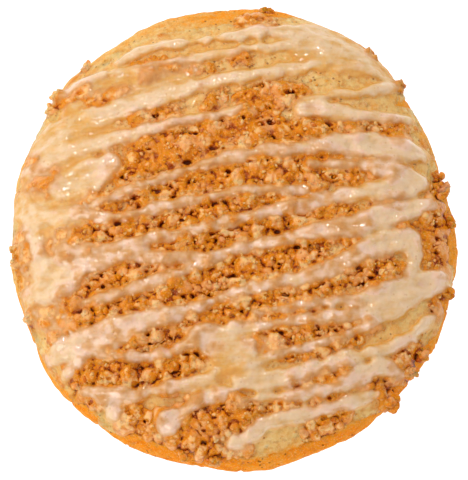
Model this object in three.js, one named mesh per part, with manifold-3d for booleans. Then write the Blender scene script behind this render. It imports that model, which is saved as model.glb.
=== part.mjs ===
// A peach cobbler cookie: a thick, soft, round cookie with brown butter crumbs baked on its top
// and icing drizzled over them in a zigzag. It lies flat on its underside.
// Millimetres, +Z up. The origin is the middle of the underside, and +Y is the far side.

import * as THREE from 'three';
import { mergeVertices } from 'three/addons/utils/BufferGeometryUtils.js';
import Module from 'manifold-3d';

// The cookie's own sizes
const ACROSS = 114.8;          // mean width at the widest level
const THICKNESS = 21;          // underside to the middle of the bare top
const WIDEST_LEVEL = 6;        // height at which the side stands out furthest
const FOOT_INSET = 3.2;        // how far the underside's edge lies inside the widest level
const SHOULDER_POWER = 3.6;    // a larger power gives a flatter top and a squarer shoulder
const SWELL = 0.55;            // half the height of the slow swells in the dough
const BROAD_SWELL = [8.3, 9.7]; // lengths of the broad swells across and along, in millimetres for each radian
const SLANT_SWELL = [5.2, 6.1]; // and of the lower ones that run aslant
const SLANT_SHARE = 0.6;       // height of the slanting swells as a share of the broad ones'
const SIDE_RIPPLE = 0.35;      // half the depth of the ripples round the side
const RIPPLE_LEAN = 3;         // height over which a ripple leans over by one radian
const RIPPLE_COUNT = 13;       // ripples once round the side
const RIPPLE_FADE = 8;         // a larger power keeps the ripples nearer to the side

// Waves of the outline: how many crests go round, how high they are, where the first one is in degrees
const OUTLINE_WAVES = [[2, 1.8, 90], [3, 0.42, -36], [4, 0.47, -30], [5, 0.31, -10], [6, 0.24, -9], [8, 0.17, 1]];

// The grid of the dough: rings from the middle to the widest level, rings below it, and how many
// points each ring of the top has more than the one inside it
const TOP_RINGS = 14;
const FOOT_RINGS = 3;
const RING_GROWTH = 6;

// Patches of crumbs: middle x and y, half length, half width, turn in degrees
const CRUMB_PATCHES = [
  [-4, 8, 29, 23, 12], [-1, -7, 27, 18, 14], [-31, -4, 12, 7, 14], [-36, -21, 14, 6, 12],
  [-21, -32, 16, 8, 14], [-5, -47, 11, 5, 8], [4, -46, 3, 3, 20], [-21, -50, 9, 4, -30],
  [-35, -41, 5, 4, -35], [19, -27, 16, 5, 14], [22, -38, 9, 3, 14], [24, -48, 6, 3, 18],
  [43, -33, 4, 6, -30], [39, -40, 3, 3, -20], [51, -18, 2, 4, -15], [35, -11, 8, 5, 10],
  [51, 2, 4, 14, -10], [-53, -8, 3, 8, 0], [-51, 17, 2, 2, 0], [-47, 11, 4, 3, 8],
  [-42, 34.5, 6, 2.5, 12], [-32, 33, 6, 2, 18], [-16, 41, 9, 2, -6], [-19, 28, 7, 2, 12],
  [5, 54, 5, 3, -8], [2, 43, 3, 2, 10], [10, 33, 10, 4, 10], [28, 25, 9, 2, 6],
  [40, 25, 4, 3, -20], [38, 14, 5, 2, 5], [39, 6, 6, 2, 8], [42, 0, 4, 1, 8], [-7, -55, 12, 2, -8],
];
const CRUMB_BED = 1.2;         // thickness of the bed of small crumbs in a patch
const BED_EDGE = 0.35;         // share of a patch over which its bed thins out

// The larger crumbs that stand out of the bed
const CRUMB_COUNT = 122;
const LARGEST_CRUMB = 5;       // mean width
const SMALLEST_CRUMB = 2.7;
const CRUMB_SHAPE = [0.9, 0.7, 0.55]; // length, breadth and height of a crumb as shares of its width
const CORNER_UNEVENNESS = 0.3; // how much further out or in a crumb's corners may lie
const CRUMB_TIP = 0.8;         // range of the tips of a crumb to its sides, in radians
const CRUMB_STANDS = 0.04;     // share of its width by which a crumb's middle lies above the bed
const CRUMB_SPACING = 0.5;     // least distance between two crumbs, as a share of their widths together
const CRUMB_MARGIN = 3;        // how far inside the outline a crumb's middle stays
const RIM_CRUMBS = [           // crumbs that stand out past the edge: angle round the cookie, width
  [142, 4.6], [145.5, 3.4], [131, 3.4], [81.5, 3.6], [53, 4.4], [42.5, 4.2], [15.5, 3.8], [11, 5.4], [2.5, 4],
  [185, 4], [188.5, 3.8], [203, 4.4], [-102, 3.6], [-95, 3.6], [-47.5, 6.4], [-39, 4.4], [-34, 4], [-16, 4.4],
];
const RIM_INSET = 1.6;         // how far inside the widest level the middle of a rim crumb lies
const RIM_DRAW = 5000;         // first number of the draws that shape the rim crumbs
const TURN_CHANNEL = 20;       // first channel of the draws that turn a crumb
const PLACE_STEP = [0.7548776662466927, 0.5698402909980532]; // an even spread without repeats
const SOURCE_SPREAD = 61;      // half the width of the square that the places are drawn from

// Icing, from the far side to the near side: points with x, y and the width of the drizzle
const DRIZZLES = [
  [[-29, 42.5, 2], [-21, 46, 2.2], [2, 49.5, 2.6], [12, 51, 4], [21, 51, 5], [28, 49.5, 5], [32, 46.5, 2.6]],
  [[-45, 34, 2.2], [-36, 38.5, 2.5], [-20, 41, 2.2], [8, 46, 2.2], [27, 49, 2.6]],
  [[-48, 21, 6], [-43, 25, 6.5], [-33, 28, 6], [-18, 33, 4.6], [0, 37.5, 3.4], [20, 41.5, 2.8], [34, 46, 2.5]],
  [[-51.5, 16.5, 3.6], [-43, 18.5, 6], [-33, 21, 5], [-20, 24.5, 3], [1.5, 29, 1.6]],
  [[-46, 9, 8], [-38, 11.5, 11], [-31, 15, 7]],
  [[29, 40.5, 3], [38, 41.5, 3], [41.5, 38, 2.5], [36.5, 35.3, 2], [22, 32.5, 2]],
  [[17, 29.5, 5], [24, 29.5, 4.5], [31.5, 28.3, 3], [45, 28.5, 2]],
  [[-34, 5, 2.5], [-13, 13, 2.2], [1.5, 17.3, 2.6], [19, 19.5, 3.5], [31, 20.7, 6], [40, 20, 6.3], [47, 19, 4]],
  [[-50, 1.5, 5], [-44, 1.5, 6], [-37, 3, 3], [-28, 2, 2.2], [-8, 6.3, 2.2], [5, 8.5, 2.2], [17, 8.5, 2]],
  [[-49.5, 7, 4.5], [-49, -1, 4], [-48.7, -11, 4.4]],
  [[19, 15, 2], [31, 15.2, 3], [39, 14, 5], [44, 12, 7]],
  [[-42, -7, 5], [-32.5, -6.5, 3], [-8, -1, 2.5], [12, 3.7, 3], [28, 7.5, 3.6], [41, 9.5, 5.5], [47, 11, 3.5]],
  [[-50, -17.5, 5], [-43, -14.5, 6.5], [-36, -10, 5], [-27, -7.7, 3], [-10, -8.5, 2.5], [4, -5.5, 2.8],
    [21, -2, 3.5], [29, -0.5, 5], [39, 3, 6], [49, 6.3, 3.5]],
  [[-38.5, -19.5, 2.5], [-25, -16.5, 2.2], [-13.5, -12.3, 2.2], [-3.5, -8, 2]],
  [[-42, -30, 6], [-33, -28, 7], [-25, -25, 6], [-13, -21.8, 3.6], [1.5, -17, 3], [21, -12, 4], [31, -7.5, 5],
    [38, -4, 6.5], [43.5, -3, 4.5]],
  [[43.5, -3, 4], [44.5, -9, 3.6], [43, -15.5, 3.5]],
  [[5.5, -22, 2], [24.5, -19, 2.3], [33, -17.5, 3.2], [41, -16, 6], [48, -13.7, 6], [53, -12, 3.5]],
  [[-32.5, -32.3, 2], [-20, -32.3, 2.4], [-11, -29.7, 3.4], [-2, -27, 4], [8, -25, 2.6], [26, -22.5, 3.5],
    [36, -21, 4], [43, -18.5, 3.5]],
  [[-7, -28, 7], [-2, -30, 8], [3, -31, 6]],
  [[1, -39, 4], [8, -38.5, 5], [17, -36.3, 4], [28, -32.7, 3], [40, -29, 3], [50, -21.5, 2]],
  [[-37.5, -40.5, 2], [-27.5, -41.5, 3.5], [-11.5, -39, 2.2], [-4.5, -37.5, 2]],
  [[-16, -48.5, 5], [-11.5, -45.3, 2.8], [-7, -43, 2.5], [1.5, -40, 2]],
  [[3, -43, 2], [20, -41, 2.6], [27, -39, 3], [36, -34.5, 4.5], [40.3, -36, 2.6]],
  [[0, -53.3, 3], [3.5, -52, 3.2], [8, -48.7, 3.2], [18.5, -46, 3], [35.5, -41, 2]],
];
const DRIZZLE_STEP = 7;        // distance between two sections of a drizzle
const DRIZZLE_RISE = 0.36;     // height of a drizzle as a share of its width
const DRIZZLE_TALLEST = 1.35;
const DRIZZLE_ROOT = 1.1;      // how deep a drizzle's section reaches into the dough
const CROWN_SHARE = 0.27;      // half the width of a drizzle's flat crown, as a share of its width
const TIP_SHARE = 0.55;        // width of the rounded tip's last section as a share of the end's width

const CORNER_GAP = 1e-5;       // corners nearer to each other than this are one
const MERGE = 0.1;             // edges shorter than this are closed up after joining

const DEGREE = Math.PI / 180;
const wasm = await Module();
wasm.setup();

// A number from 0 to 1 that looks random and is the same every time
function scatter(index, channel) {
  const value = Math.sin(index * 12.9898 + channel * 78.233) * 43758.5453;
  return value - Math.floor(value);
}

function smoothStep(low, high, value) {
  const share = THREE.MathUtils.clamp((value - low) / (high - low), 0, 1);
  return share * share * (3 - 2 * share);
}

// Distance from the middle to the widest level, at an angle round the cookie
function outlineRadius(angle) {
  let radius = ACROSS / 2;
  for (const [count, height, crest] of OUTLINE_WAVES) {
    radius += height * Math.cos(count * (angle - crest * DEGREE));
  }
  return radius;
}

// Slow swells of the baked dough: broad ones both ways, and lower ones aslant
function doughSwell(x, y) {
  const broad = Math.sin(x / BROAD_SWELL[0] + 0.9) * Math.sin(y / BROAD_SWELL[1] - 0.6);
  const aslant = Math.sin(x / SLANT_SWELL[0] - y / SLANT_SWELL[1] + 2);
  return SWELL * (broad + SLANT_SHARE * aslant);
}

// Height of the bare dough above the underside
function doughTop(x, y) {
  const share = Math.min(Math.hypot(x, y) / outlineRadius(Math.atan2(y, x)), 1);
  const dome = Math.sqrt(1 - share ** SHOULDER_POWER);
  return WIDEST_LEVEL + (THICKNESS - WIDEST_LEVEL + doughSwell(x, y)) * dome;
}

// How far inside a patch a point lies: 1 in its middle, 0 on its rim, less outside
function patchDepth([middleX, middleY, halfLength, halfWidth, turn], x, y) {
  const cosine = Math.cos(turn * DEGREE);
  const sine = Math.sin(turn * DEGREE);
  const along = (x - middleX) * cosine + (y - middleY) * sine;
  const across = (y - middleY) * cosine - (x - middleX) * sine;
  return 1 - Math.hypot(along / halfLength, across / halfWidth);
}

function crumbDepth(x, y) {
  return Math.max(...CRUMB_PATCHES.map((patch) => patchDepth(patch, x, y)));
}

// Height of the dough with its bed of small crumbs
function bakedTop(x, y) {
  return doughTop(x, y) + CRUMB_BED * smoothStep(0, BED_EDGE, crumbDepth(x, y));
}

// The shape alone, with each corner once
function bare(geometry) {
  geometry.deleteAttribute('normal');
  geometry.deleteAttribute('uv');
  return mergeVertices(geometry, CORNER_GAP);
}

// A closed geometry becomes a solid that can be joined to another
function toSolid(geometry) {
  const merged = bare(geometry);
  return new wasm.Manifold(new wasm.Mesh({
    numProp: 3,
    vertProperties: new Float32Array(merged.attributes.position.array),
    triVerts: new Uint32Array(merged.index.array),
  }));
}

function toGeometry(solid) {
  const mesh = solid.getMesh();
  const geometry = new THREE.BufferGeometry();
  geometry.setAttribute('position', new THREE.BufferAttribute(mesh.vertProperties, 3));
  geometry.setIndex(new THREE.BufferAttribute(mesh.triVerts, 1));
  geometry.computeVertexNormals();
  return geometry;
}

// Faces between two rings of point numbers, whose counts may differ. A ring of one point is a tip.
function zipRings(lower, upper) {
  const faces = [];
  let low = 0;
  let high = 0;
  while (low < lower.length || high < upper.length) {
    const lowPoint = lower[low % lower.length];
    const highPoint = upper[high % upper.length];
    if ((low + 1) / lower.length <= (high + 1) / upper.length) {
      low += 1;
      if (lower.length > 1) faces.push(lowPoint, lower[low % lower.length], highPoint);
    } else {
      high += 1;
      if (upper.length > 1) faces.push(lowPoint, upper[high % upper.length], highPoint);
    }
  }
  return faces;
}

// A closed skin over rings of points, from the tip at one end to the tip at the other
function skinRings(rings) {
  const points = rings.flat();
  const faces = [];
  let start = 0;
  let lower = null;
  for (const ring of rings) {
    const first = start;
    const upper = ring.map((_, step) => first + step);
    if (lower) faces.push(...zipRings(lower, upper));
    lower = upper;
    start += ring.length;
  }
  const geometry = new THREE.BufferGeometry();
  geometry.setAttribute('position', new THREE.Float32BufferAttribute(points.flatMap((p) => p.toArray()), 3));
  geometry.setIndex(faces);
  return geometry;
}

// How far the side stands out in its ripples, which lean over as they rise
function sideRipple(angle, height) {
  return SIDE_RIPPLE * Math.sin(RIPPLE_COUNT * angle + height / RIPPLE_LEAN);
}

// One ring of the dough's side below the widest level
function footRing(height) {
  const inset = FOOT_INSET * (1 - height / WIDEST_LEVEL) ** 2;
  const steps = TOP_RINGS * RING_GROWTH;
  return Array.from({ length: steps }, (_, step) => {
    const angle = step / steps * 2 * Math.PI;
    const radius = outlineRadius(angle) - inset + sideRipple(angle, height) * height / WIDEST_LEVEL;
    return new THREE.Vector3(radius * Math.cos(angle), radius * Math.sin(angle), height);
  });
}

// One ring of the dough's top, counted from the middle
function topRing(ring) {
  const share = Math.sin(ring / TOP_RINGS * Math.PI / 2);
  const steps = ring * RING_GROWTH;
  return Array.from({ length: steps }, (_, step) => {
    const angle = step / steps * 2 * Math.PI;
    const radius = outlineRadius(angle) * share;
    const x = radius * Math.cos(angle);
    const y = radius * Math.sin(angle);
    const reach = 1 + sideRipple(angle, WIDEST_LEVEL) * share ** RIPPLE_FADE / radius;
    return new THREE.Vector3(x * reach, y * reach, bakedTop(x, y));
  });
}

function makeDough() {
  const rings = [[new THREE.Vector3()]];
  for (let ring = 0; ring <= FOOT_RINGS; ring += 1) {
    rings.push(footRing(WIDEST_LEVEL * ring / FOOT_RINGS));
  }
  for (let ring = TOP_RINGS - 1; ring > 0; ring -= 1) {
    rings.push(topRing(ring));
  }
  rings.push([new THREE.Vector3(0, 0, bakedTop(0, 0))]);
  return skinRings(rings);
}

// Points at even distances along a drizzle, each with the width there
function drizzleSteps(points) {
  const curve = new THREE.CatmullRomCurve3(points.map(([x, y, width]) => new THREE.Vector3(x, y, width)));
  const count = Math.max(3, Math.round(curve.getLength() / DRIZZLE_STEP));
  return curve.getSpacedPoints(count);
}

// One section across a drizzle, from its left root over its flat crown to its right root
function drizzleSection(point, direction, width) {
  const rise = Math.min(DRIZZLE_RISE * width, DRIZZLE_TALLEST);
  const left = new THREE.Vector2(-direction.y, direction.x);
  const profile = [[0.5, -DRIZZLE_ROOT], [CROWN_SHARE, rise], [-CROWN_SHARE, rise], [-0.5, -DRIZZLE_ROOT]];
  return profile.map(([side, up]) => {
    const x = point.x + left.x * side * width;
    const y = point.y + left.y * side * width;
    return new THREE.Vector3(x, y, bakedTop(x, y) + up);
  });
}

function makeDrizzle(points) {
  const steps = drizzleSteps(points);
  const last = steps.length - 1;
  const sections = steps.map((step, index) => {
    const ahead = steps[Math.min(index + 1, last)];
    const behind = steps[Math.max(index - 1, 0)];
    const direction = new THREE.Vector2(ahead.x - behind.x, ahead.y - behind.y).normalize();
    const tip = index === 0 || index === last ? TIP_SHARE : 1;
    return drizzleSection(step, direction, step.z * tip);
  });
  const middleOf = (section) => {
    const total = section.reduce((sum, point) => sum.add(point), new THREE.Vector3());
    return total.divideScalar(section.length);
  };
  return skinRings([[middleOf(sections[0])], ...sections, [middleOf(sections[last])]]);
}

// Places of the larger crumbs, the largest first, spread evenly over the patches
function crumbPlaces() {
  const places = [];
  for (let draw = 1; places.length < CRUMB_COUNT; draw += 1) {
    const [x, y] = PLACE_STEP.map((step) => ((draw * step) % 1 * 2 - 1) * SOURCE_SPREAD);
    const width = THREE.MathUtils.lerp(LARGEST_CRUMB, SMALLEST_CRUMB, Math.sqrt(places.length / CRUMB_COUNT));
    const edge = outlineRadius(Math.atan2(y, x)) - Math.hypot(x, y);
    const clear = places.every((other) => (
      Math.hypot(x - other.x, y - other.y) > CRUMB_SPACING * (width + other.width)));
    if (crumbDepth(x, y) > 0 && edge > CRUMB_MARGIN && clear) {
      places.push({ x, y, width, draw });
    }
  }
  return places;
}

// Places of the crumbs that stick to the edge
function rimPlaces() {
  return RIM_CRUMBS.map(([degrees, width], index) => {
    const angle = degrees * DEGREE;
    const radius = outlineRadius(angle) - RIM_INSET;
    return { x: radius * Math.cos(angle), y: radius * Math.sin(angle), width, draw: RIM_DRAW + index };
  });
}

// A crumb: a broken lump with eight uneven corners, turned its own way
function makeCrumb({ x, y, width, draw }) {
  const geometry = bare(new THREE.BoxGeometry(...CRUMB_SHAPE.map((share) => share * width)));
  const corners = geometry.attributes.position;
  for (let corner = 0; corner < corners.count; corner += 1) {
    const reach = 1 + CORNER_UNEVENNESS * (2 * scatter(draw, corner) - 1);
    corners.setXYZ(corner, corners.getX(corner) * reach, corners.getY(corner) * reach, corners.getZ(corner) * reach);
  }
  geometry.rotateX((scatter(draw, TURN_CHANNEL) - 0.5) * CRUMB_TIP);
  geometry.rotateY((scatter(draw, TURN_CHANNEL + 1) - 0.5) * CRUMB_TIP);
  geometry.rotateZ(scatter(draw, TURN_CHANNEL + 2) * 2 * Math.PI);
  geometry.translate(x, y, bakedTop(x, y) + CRUMB_STANDS * width);
  return geometry;
}

// The cookie in one piece: loose scraps are dropped and sealed hollows are filled
function makeCookie() {
  let cookie = toSolid(makeDough());
  for (const points of DRIZZLES) {
    cookie = cookie.add(toSolid(makeDrizzle(points)));
  }
  for (const place of [...crumbPlaces(), ...rimPlaces()]) {
    cookie = cookie.add(toSolid(makeCrumb(place)));
  }
  const pieces = cookie.simplify(MERGE).decompose();
  pieces.sort((one, other) => other.volume() - one.volume());
  return toGeometry(pieces[0]);
}

const bakedDough = new THREE.MeshStandardMaterial({ color: 0xe2a869, roughness: 0.75, metalness: 0 });
const cookie = new THREE.Mesh(makeCookie(), bakedDough);
cookie.name = 'cobbler_cookie';

const model = new THREE.Group();
model.add(cookie);
export default model;
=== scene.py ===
"""A peach cobbler cookie: soft baked dough, brown butter crumbs on its top, and icing drizzled over them.

Sizes are in millimetres, as a baker measures them, and meshes are made in metres in the part's own frame.
"""

import math

import bmesh
import bpy
import numpy as np
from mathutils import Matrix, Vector
from mathutils.bvhtree import BVHTree


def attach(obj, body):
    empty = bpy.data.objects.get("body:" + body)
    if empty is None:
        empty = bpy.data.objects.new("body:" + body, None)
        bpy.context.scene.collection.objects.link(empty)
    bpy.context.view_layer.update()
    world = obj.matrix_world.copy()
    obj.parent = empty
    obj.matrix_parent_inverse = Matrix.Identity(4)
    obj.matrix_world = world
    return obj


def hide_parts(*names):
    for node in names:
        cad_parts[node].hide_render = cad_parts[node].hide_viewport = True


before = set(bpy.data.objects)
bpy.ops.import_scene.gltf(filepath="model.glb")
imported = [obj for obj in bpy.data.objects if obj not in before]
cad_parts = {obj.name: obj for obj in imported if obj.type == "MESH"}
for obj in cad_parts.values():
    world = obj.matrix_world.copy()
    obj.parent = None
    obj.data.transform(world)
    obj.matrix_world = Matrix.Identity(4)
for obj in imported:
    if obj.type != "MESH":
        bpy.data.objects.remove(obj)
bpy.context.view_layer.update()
NODE = "cobbler_cookie"
BODY = "root"
MM = 0.001

# Sizes of the solid cookie
ACROSS = 114.8
THICKNESS = 21
WIDEST_LEVEL = 6
FOOT_INSET = 3.2               # how much less wide the underside is, at each side
SHOULDER_POWER = 3.6           # how flat the top is, and so how round its shoulder
SWELL = 0.55                   # height of the uneven swell in the top
BROAD_SWELL = (8.3, 9.7)       # how broad its waves are, across and along
SLANT_SWELL = (5.2, 6.1)       # and those that run aslant
SLANT_SHARE = 0.6              # height of these, as a share of the others
SWELL_STARTS = (0.9, -0.6, 2)  # where the three begin
SIDE_RIPPLE = 0.35             # height of the ripples round the side
RIPPLE_LEAN = 3
RIPPLE_COUNT = 13
RIPPLE_FADE = 8                # how soon they end from the side inwards

# Waves of the outline: how many there are round it, their height, and degrees to a crest
OUTLINE_WAVES = [(2, 1.8, 90), (3, 0.42, -36), (4, 0.47, -30), (5, 0.31, -10), (6, 0.24, -9), (8, 0.17, 1)]

# The baked skin of the dough: sizes with reaches or depths
SKIN_WAVES = [(4.6, 0.24), (2.0, 0.16), (0.9, 0.08)]
PORES = (1.2, 0.32)
PORES_OVER = (0.52, 0.8)       # part of the waves' height that is a pore
CRACKS = (7.5, 0.45)
CRACK_BENDS = (2.5, 0.35)
CRACK_WIDTH = 0.11
CRACKED_FROM = (0.62, 0.9)     # share of the way out over which the cracks set in
FLAT_FOOT = 2.5                # level from which the skin has its whole relief

# Patches of crumbs: middle x and y, half length, half width, turn in degrees
CRUMB_PATCHES = [
    (-4, 8, 29, 23, 12), (-1, -7, 27, 18, 14), (-31, -4, 12, 7, 14), (-36, -21, 14, 6, 12),
    (-21, -32, 16, 8, 14), (-5, -47, 11, 5, 8), (4, -46, 3, 3, 20), (-21, -50, 9, 4, -30),
    (-35, -41, 5, 4, -35), (19, -27, 16, 5, 14), (22, -38, 9, 3, 14), (24, -48, 6, 3, 18),
    (43, -33, 4, 6, -30), (39, -40, 3, 3, -20), (51, -18, 2, 4, -15), (35, -11, 8, 5, 10),
    (51, 2, 4, 14, -10), (-53, -8, 3, 8, 0), (-51, 17, 2, 2, 0), (-47, 11, 4, 3, 8),
    (-42, 34.5, 6, 2.5, 12), (-32, 33, 6, 2, 18), (-16, 41, 9, 2, -6), (-19, 28, 7, 2, 12),
    (5, 54, 5, 3, -8), (2, 43, 3, 2, 10), (10, 33, 10, 4, 10), (28, 25, 9, 2, 6),
    (40, 25, 4, 3, -20), (38, 14, 5, 2, 5), (39, 6, 6, 2, 8), (42, 0, 4, 1, 8), (-7, -55, 12, 2, -8),
]
CRUMB_BED = 1.2                # height of the bed of crumbs in the solid
BED_EDGE = 0.35                # depth in a patch over which it rises

# Thin spreads of small crumbs beside the patches, and how full they are
SPREAD_FILL = 0.8
CRUMB_SPREADS = [
    (24, 14, 9, 5, 5), (24, 0, 10, 7, 12), (22, -12, 9, 6, 12), (15, -20, 13, 4, 12),
    (23, -43, 5, 2, 20), (12, -44, 6, 1.4, 12), (32, -38.5, 4, 1.6, 10), (-22, -39, 10, 3, 12),
    (-33, -14, 8, 4, 14), (18, 23, 8, 3, 5), (-41, -4, 7, 3.5, 12), (-36, 5.5, 5, 2, 25),
    (-47.5, 12.5, 5, 2.4, 25),
]

# The larger crumbs, at the places that the solid gives them
NUGGET_COUNT = 122
LARGEST_NUGGET = 5
SMALLEST_NUGGET = 2.7
NUGGET_STANDS = 0.04           # height of a nugget's middle above the bed, from its width
NUGGET_SPACING = 0.5           # least distance between two, from the sum of their widths
NUGGET_MARGIN = 3              # from the cookie's outline
PLACE_STEP = (0.7548776662466927, 0.5698402909980532)  # from one place tried to the next, across and along
SOURCE_SPREAD = 61             # half the side of the square that they are tried in

# The larger crumbs at the rim: degrees round from the right, and width
RIM_NUGGETS = [
    (142, 4.6), (145.5, 3.4), (131, 3.4), (81.5, 3.6), (53, 4.4), (42.5, 4.2), (15.5, 3.8), (11, 5.4),
    (2.5, 4), (185, 4), (188.5, 3.8), (203, 4.4), (-102, 3.6), (-95, 3.6), (-47.5, 6.4), (-39, 4.4),
    (-34, 4), (-16, 4.4),
]
RIM_INSET = 1.6                # from the cookie's outline
RIM_CORE = 0.75                # width of each one's core, as a share of its own
RIM_SATELLITES = 7             # small crumbs baked onto each core
SATELLITE_WIDTHS = (0.4, 0.7)  # their widths, as shares of the core's
SATELLITE_REACH = 0.45         # how far from the core's middle they lie, from its width
RIM_TONES = (0.5, 0.6, 0.25)   # shares of their own tone, of a paler left side and of a browner right one
RIM_TONES_OVER = 45            # distance from the middle at which the sides have their whole share

# Icing, from the far side to the near side: points with x, y and the width of the drizzle
DRIZZLES = [
    [(-29, 42.5, 2), (-21, 46, 2.2), (2, 49.5, 2.6), (12, 51, 4), (21, 51, 5), (28, 49, 6.4), (32, 45, 5)],
    [(-45, 34, 2.2), (-36, 38.5, 2.5), (-20, 41, 2.2), (8, 46, 3), (27, 47, 5)],
    [(-48, 21, 6), (-43, 25, 6.5), (-33, 28, 6), (-18, 33, 4.6), (0, 37.5, 3.4), (20, 41.5, 2.8),
     (34, 46, 2.5)],
    [(-54.6, 14.2, 3), (-47.5, 16.3, 3.8), (-42, 19, 6), (-33, 21, 5), (-20, 24.5, 3), (1.5, 29, 1.6)],
    [(-42.5, 9.5, 6), (-37, 12, 9.5), (-31, 15, 7)],
    [(27, 41.5, 3), (36.5, 42, 4.4), (40, 38.5, 4.2), (36, 35.5, 2.4), (22, 32.5, 2)],
    [(17, 29.5, 5), (24, 29.5, 4.5), (31.5, 28.3, 3), (45, 28.5, 2)],
    [(-34, 5, 2.5), (-13, 13, 2.2), (1.5, 17.3, 2.6), (19, 19.5, 3.5), (31, 20.7, 6), (40, 20, 6.3),
     (47, 19, 4)],
    [(-53.3, 5, 5), (-45, 2.5, 6), (-37, 3, 3), (-28, 2, 2.2), (-8, 6.3, 2.2), (5, 8.5, 2.2), (17, 8.5, 2)],
    [(-52.8, 7.5, 4.6), (-50, 1, 4.2), (-48, -5, 4.2), (-46.5, -12, 4.4)],
    [(19, 15, 2), (31, 15.2, 3), (39, 14, 5), (44, 12, 7)],
    [(-42, -7, 5), (-32.5, -6.5, 3), (-8, -1, 2.5), (12, 3.7, 3), (28, 7.5, 3.6), (41, 9.5, 5.5),
     (47, 11, 3.5)],
    [(-51.6, -17, 5), (-43, -14.5, 6.5), (-36, -10, 5), (-27, -7.7, 3), (-10, -8.5, 2.5), (4, -5.5, 2.8),
     (21, -2, 3.5), (29, -0.5, 5), (39, 3, 6), (49, 6.3, 3.5)],
    [(-38.5, -19.5, 2.5), (-25, -16.5, 2.2), (-13.5, -12.3, 2.2), (-3.5, -8, 2)],
    [(-42, -30, 6), (-33, -28, 7), (-25, -25, 6), (-13, -21.8, 3.6), (1.5, -17, 3), (21, -12, 4),
     (31, -7.5, 5), (38, -4, 6.5), (43.5, -3, 4.5)],
    [(43.5, -3, 4), (44.5, -9, 3.6), (43, -15.5, 3.5)],
    [(5.5, -22, 2), (24.5, -19, 2.3), (33, -17.5, 3.2), (41, -16, 6), (47.5, -13.7, 6), (52, -12.3, 3.5)],
    [(-32.5, -32.3, 2), (-20, -32.3, 2.4), (-11, -29.7, 3.4), (-2, -27, 4), (8, -25, 2.6), (26, -22.5, 3.5),
     (36, -21, 4), (43, -18.5, 3.5)],
    [(-7, -28, 7), (-2, -30, 8), (3, -31, 6)],
    [(-4.5, -37, 1.7), (10, -32.5, 1.7), (27, -27.3, 1.8), (41, -21.3, 2)],
    [(1, -39, 4), (8, -38.5, 5), (17, -36.3, 4), (28, -32.7, 3), (40, -29, 3), (50, -21.5, 2)],
    [(-37.5, -40.5, 2), (-27.5, -41.5, 3.5), (-11.5, -39, 2.2), (-4.5, -37.5, 2)],
    [(-16, -48.5, 5), (-11.5, -45.3, 2.8), (-7, -43, 2.5), (1.5, -40, 2)],
    [(3, -43, 2), (20, -41, 2.6), (27, -39, 3), (36, -34.5, 4.5), (40.3, -36, 2.6)],
    [(0, -53.3, 3), (3.5, -52, 3.2), (8, -48.7, 3.2), (18.5, -46, 3), (35.5, -41, 2)],
]

# Single drops of icing: x, y and width
DROPS = [(-29, -46, 3.5), (-32.5, -43, 2), (-37.5, -34, 3), (-44.5, -32, 4), (-40.5, -36, 3)]

# The edges of the icing
DRIZZLE_STEP = 0.4             # between the points along a drizzle
MERGING = 0.4                  # how far neighbouring drizzles run together
MERGING_REACH = 3              # how far from its own edge a drizzle still counts
EDGE_WOBBLES = [(5.0, 0.5), (2.2, 0.65)]  # size and reach of the waves in the edge
ICING_RUN = 0.35               # how far the icing has run out past its drizzles' own width
ICING_ROOM = (-0.5, 1.2)       # distances from the cookie's outline over which it sets in
ICING_MARGIN = 0.4             # from the outline
WET_ON_CRUMBS = 0.9            # how far a thin film reaches past the icing's edge
WET_ON_DOUGH = 2.6

# Depths of the icing
ICING_DEPTH = 1.65             # in a wide pool
ICING_EDGE = 1.5               # distance over which the edge rises
ICING_BULGE = 0.6              # share of that rise that is round as in a drop
GENTLE_RISE = (-0.2, 1)        # from where to where the rest rises, as shares of that distance
ICING_LUMPS = [(3.2, 0.26), (1.6, 0.2)]  # size and reach of the waves on it
LUMPS_OVER = (-0.2, 1.4)       # distances inside the edge over which these set in
SOAK = 0.25                    # share of the depth that sinks in between crumbs
POOL_SINK = 0.32               # and share that has gone into the dough in the middle of a wide pool
POOL_OVER = (1.5, 4.0)         # distances inside the edge over which it sinks
RIM_LOSS = 0.35                # share of the depth that has run off near the rim, at the right
RIM_LOSS_OVER = (4.5, 1)       # distances from the outline over which it has
RIM_LOSS_SIDE = (0, 30)        # and x
CRUMBS_PROUD = 0.24            # how far the icing has sunk below its own level between crumbs
CRUMBS_FADE = 0.8              # distance over which icing on crumbs becomes icing on dough
ICING_FILM = 0.14              # least icing over a crumb in the middle of a drizzle
FILM_OUTSIDE = 0.4             # share of that film where the icing is only wet
FILM_OVER = (0.5, -1.0)        # distances from the edge over which the rest sets in
LEVELLING = (0.75, 1.4)        # reach over which narrow and wide icing levels out what is under it
WIDE_OVER = (1.0, 3.0)         # distances inside the edge over which it counts as wide
SLOPE_REACH = 0.6              # reach over which the slope of the dough is taken
STEEPEST = 1.2                 # most that this slope makes the icing stand higher
SMOOTH_OVER = (0.3, -0.5)      # distances from the edge over which the top becomes smooth
SMOOTHING = 0.3                # and the reach over which it is
GLAZE_SMOOTHING = 0.4
ICING_ROOT = 0.8               # how far its underside lies below the top of the dough
THINNEST_SHEET = 0.05

# Where icing has run together into a thin glaze between the drizzles: as the patches of crumbs
GLAZES = [
    (-45, 6, 32, 13, 80), (26, 45, 18, 6, -14), (-22, 38, 20, 5, 12), (2, -33, 12, 6, 14),
    (-43, -23, 10, 7, -50), (39, 16, 7, 4, 0),
]
GLAZE_DEPTH = 0.55
GLAZE_SOAK = 0.4               # share of that depth that sinks in between crumbs
GLAZE_SINK = 0.2               # share of their depth that the drizzles have lost there
GLAZE_EDGE = 0.35              # depth in its patch over which it sets in
GLAZE_WAVES = (5, 0.35)        # size and reach of the waves in its edge
GLAZE_ROOM = (0.2, 2.5)        # distances from the cookie's outline over which it sets in

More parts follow.
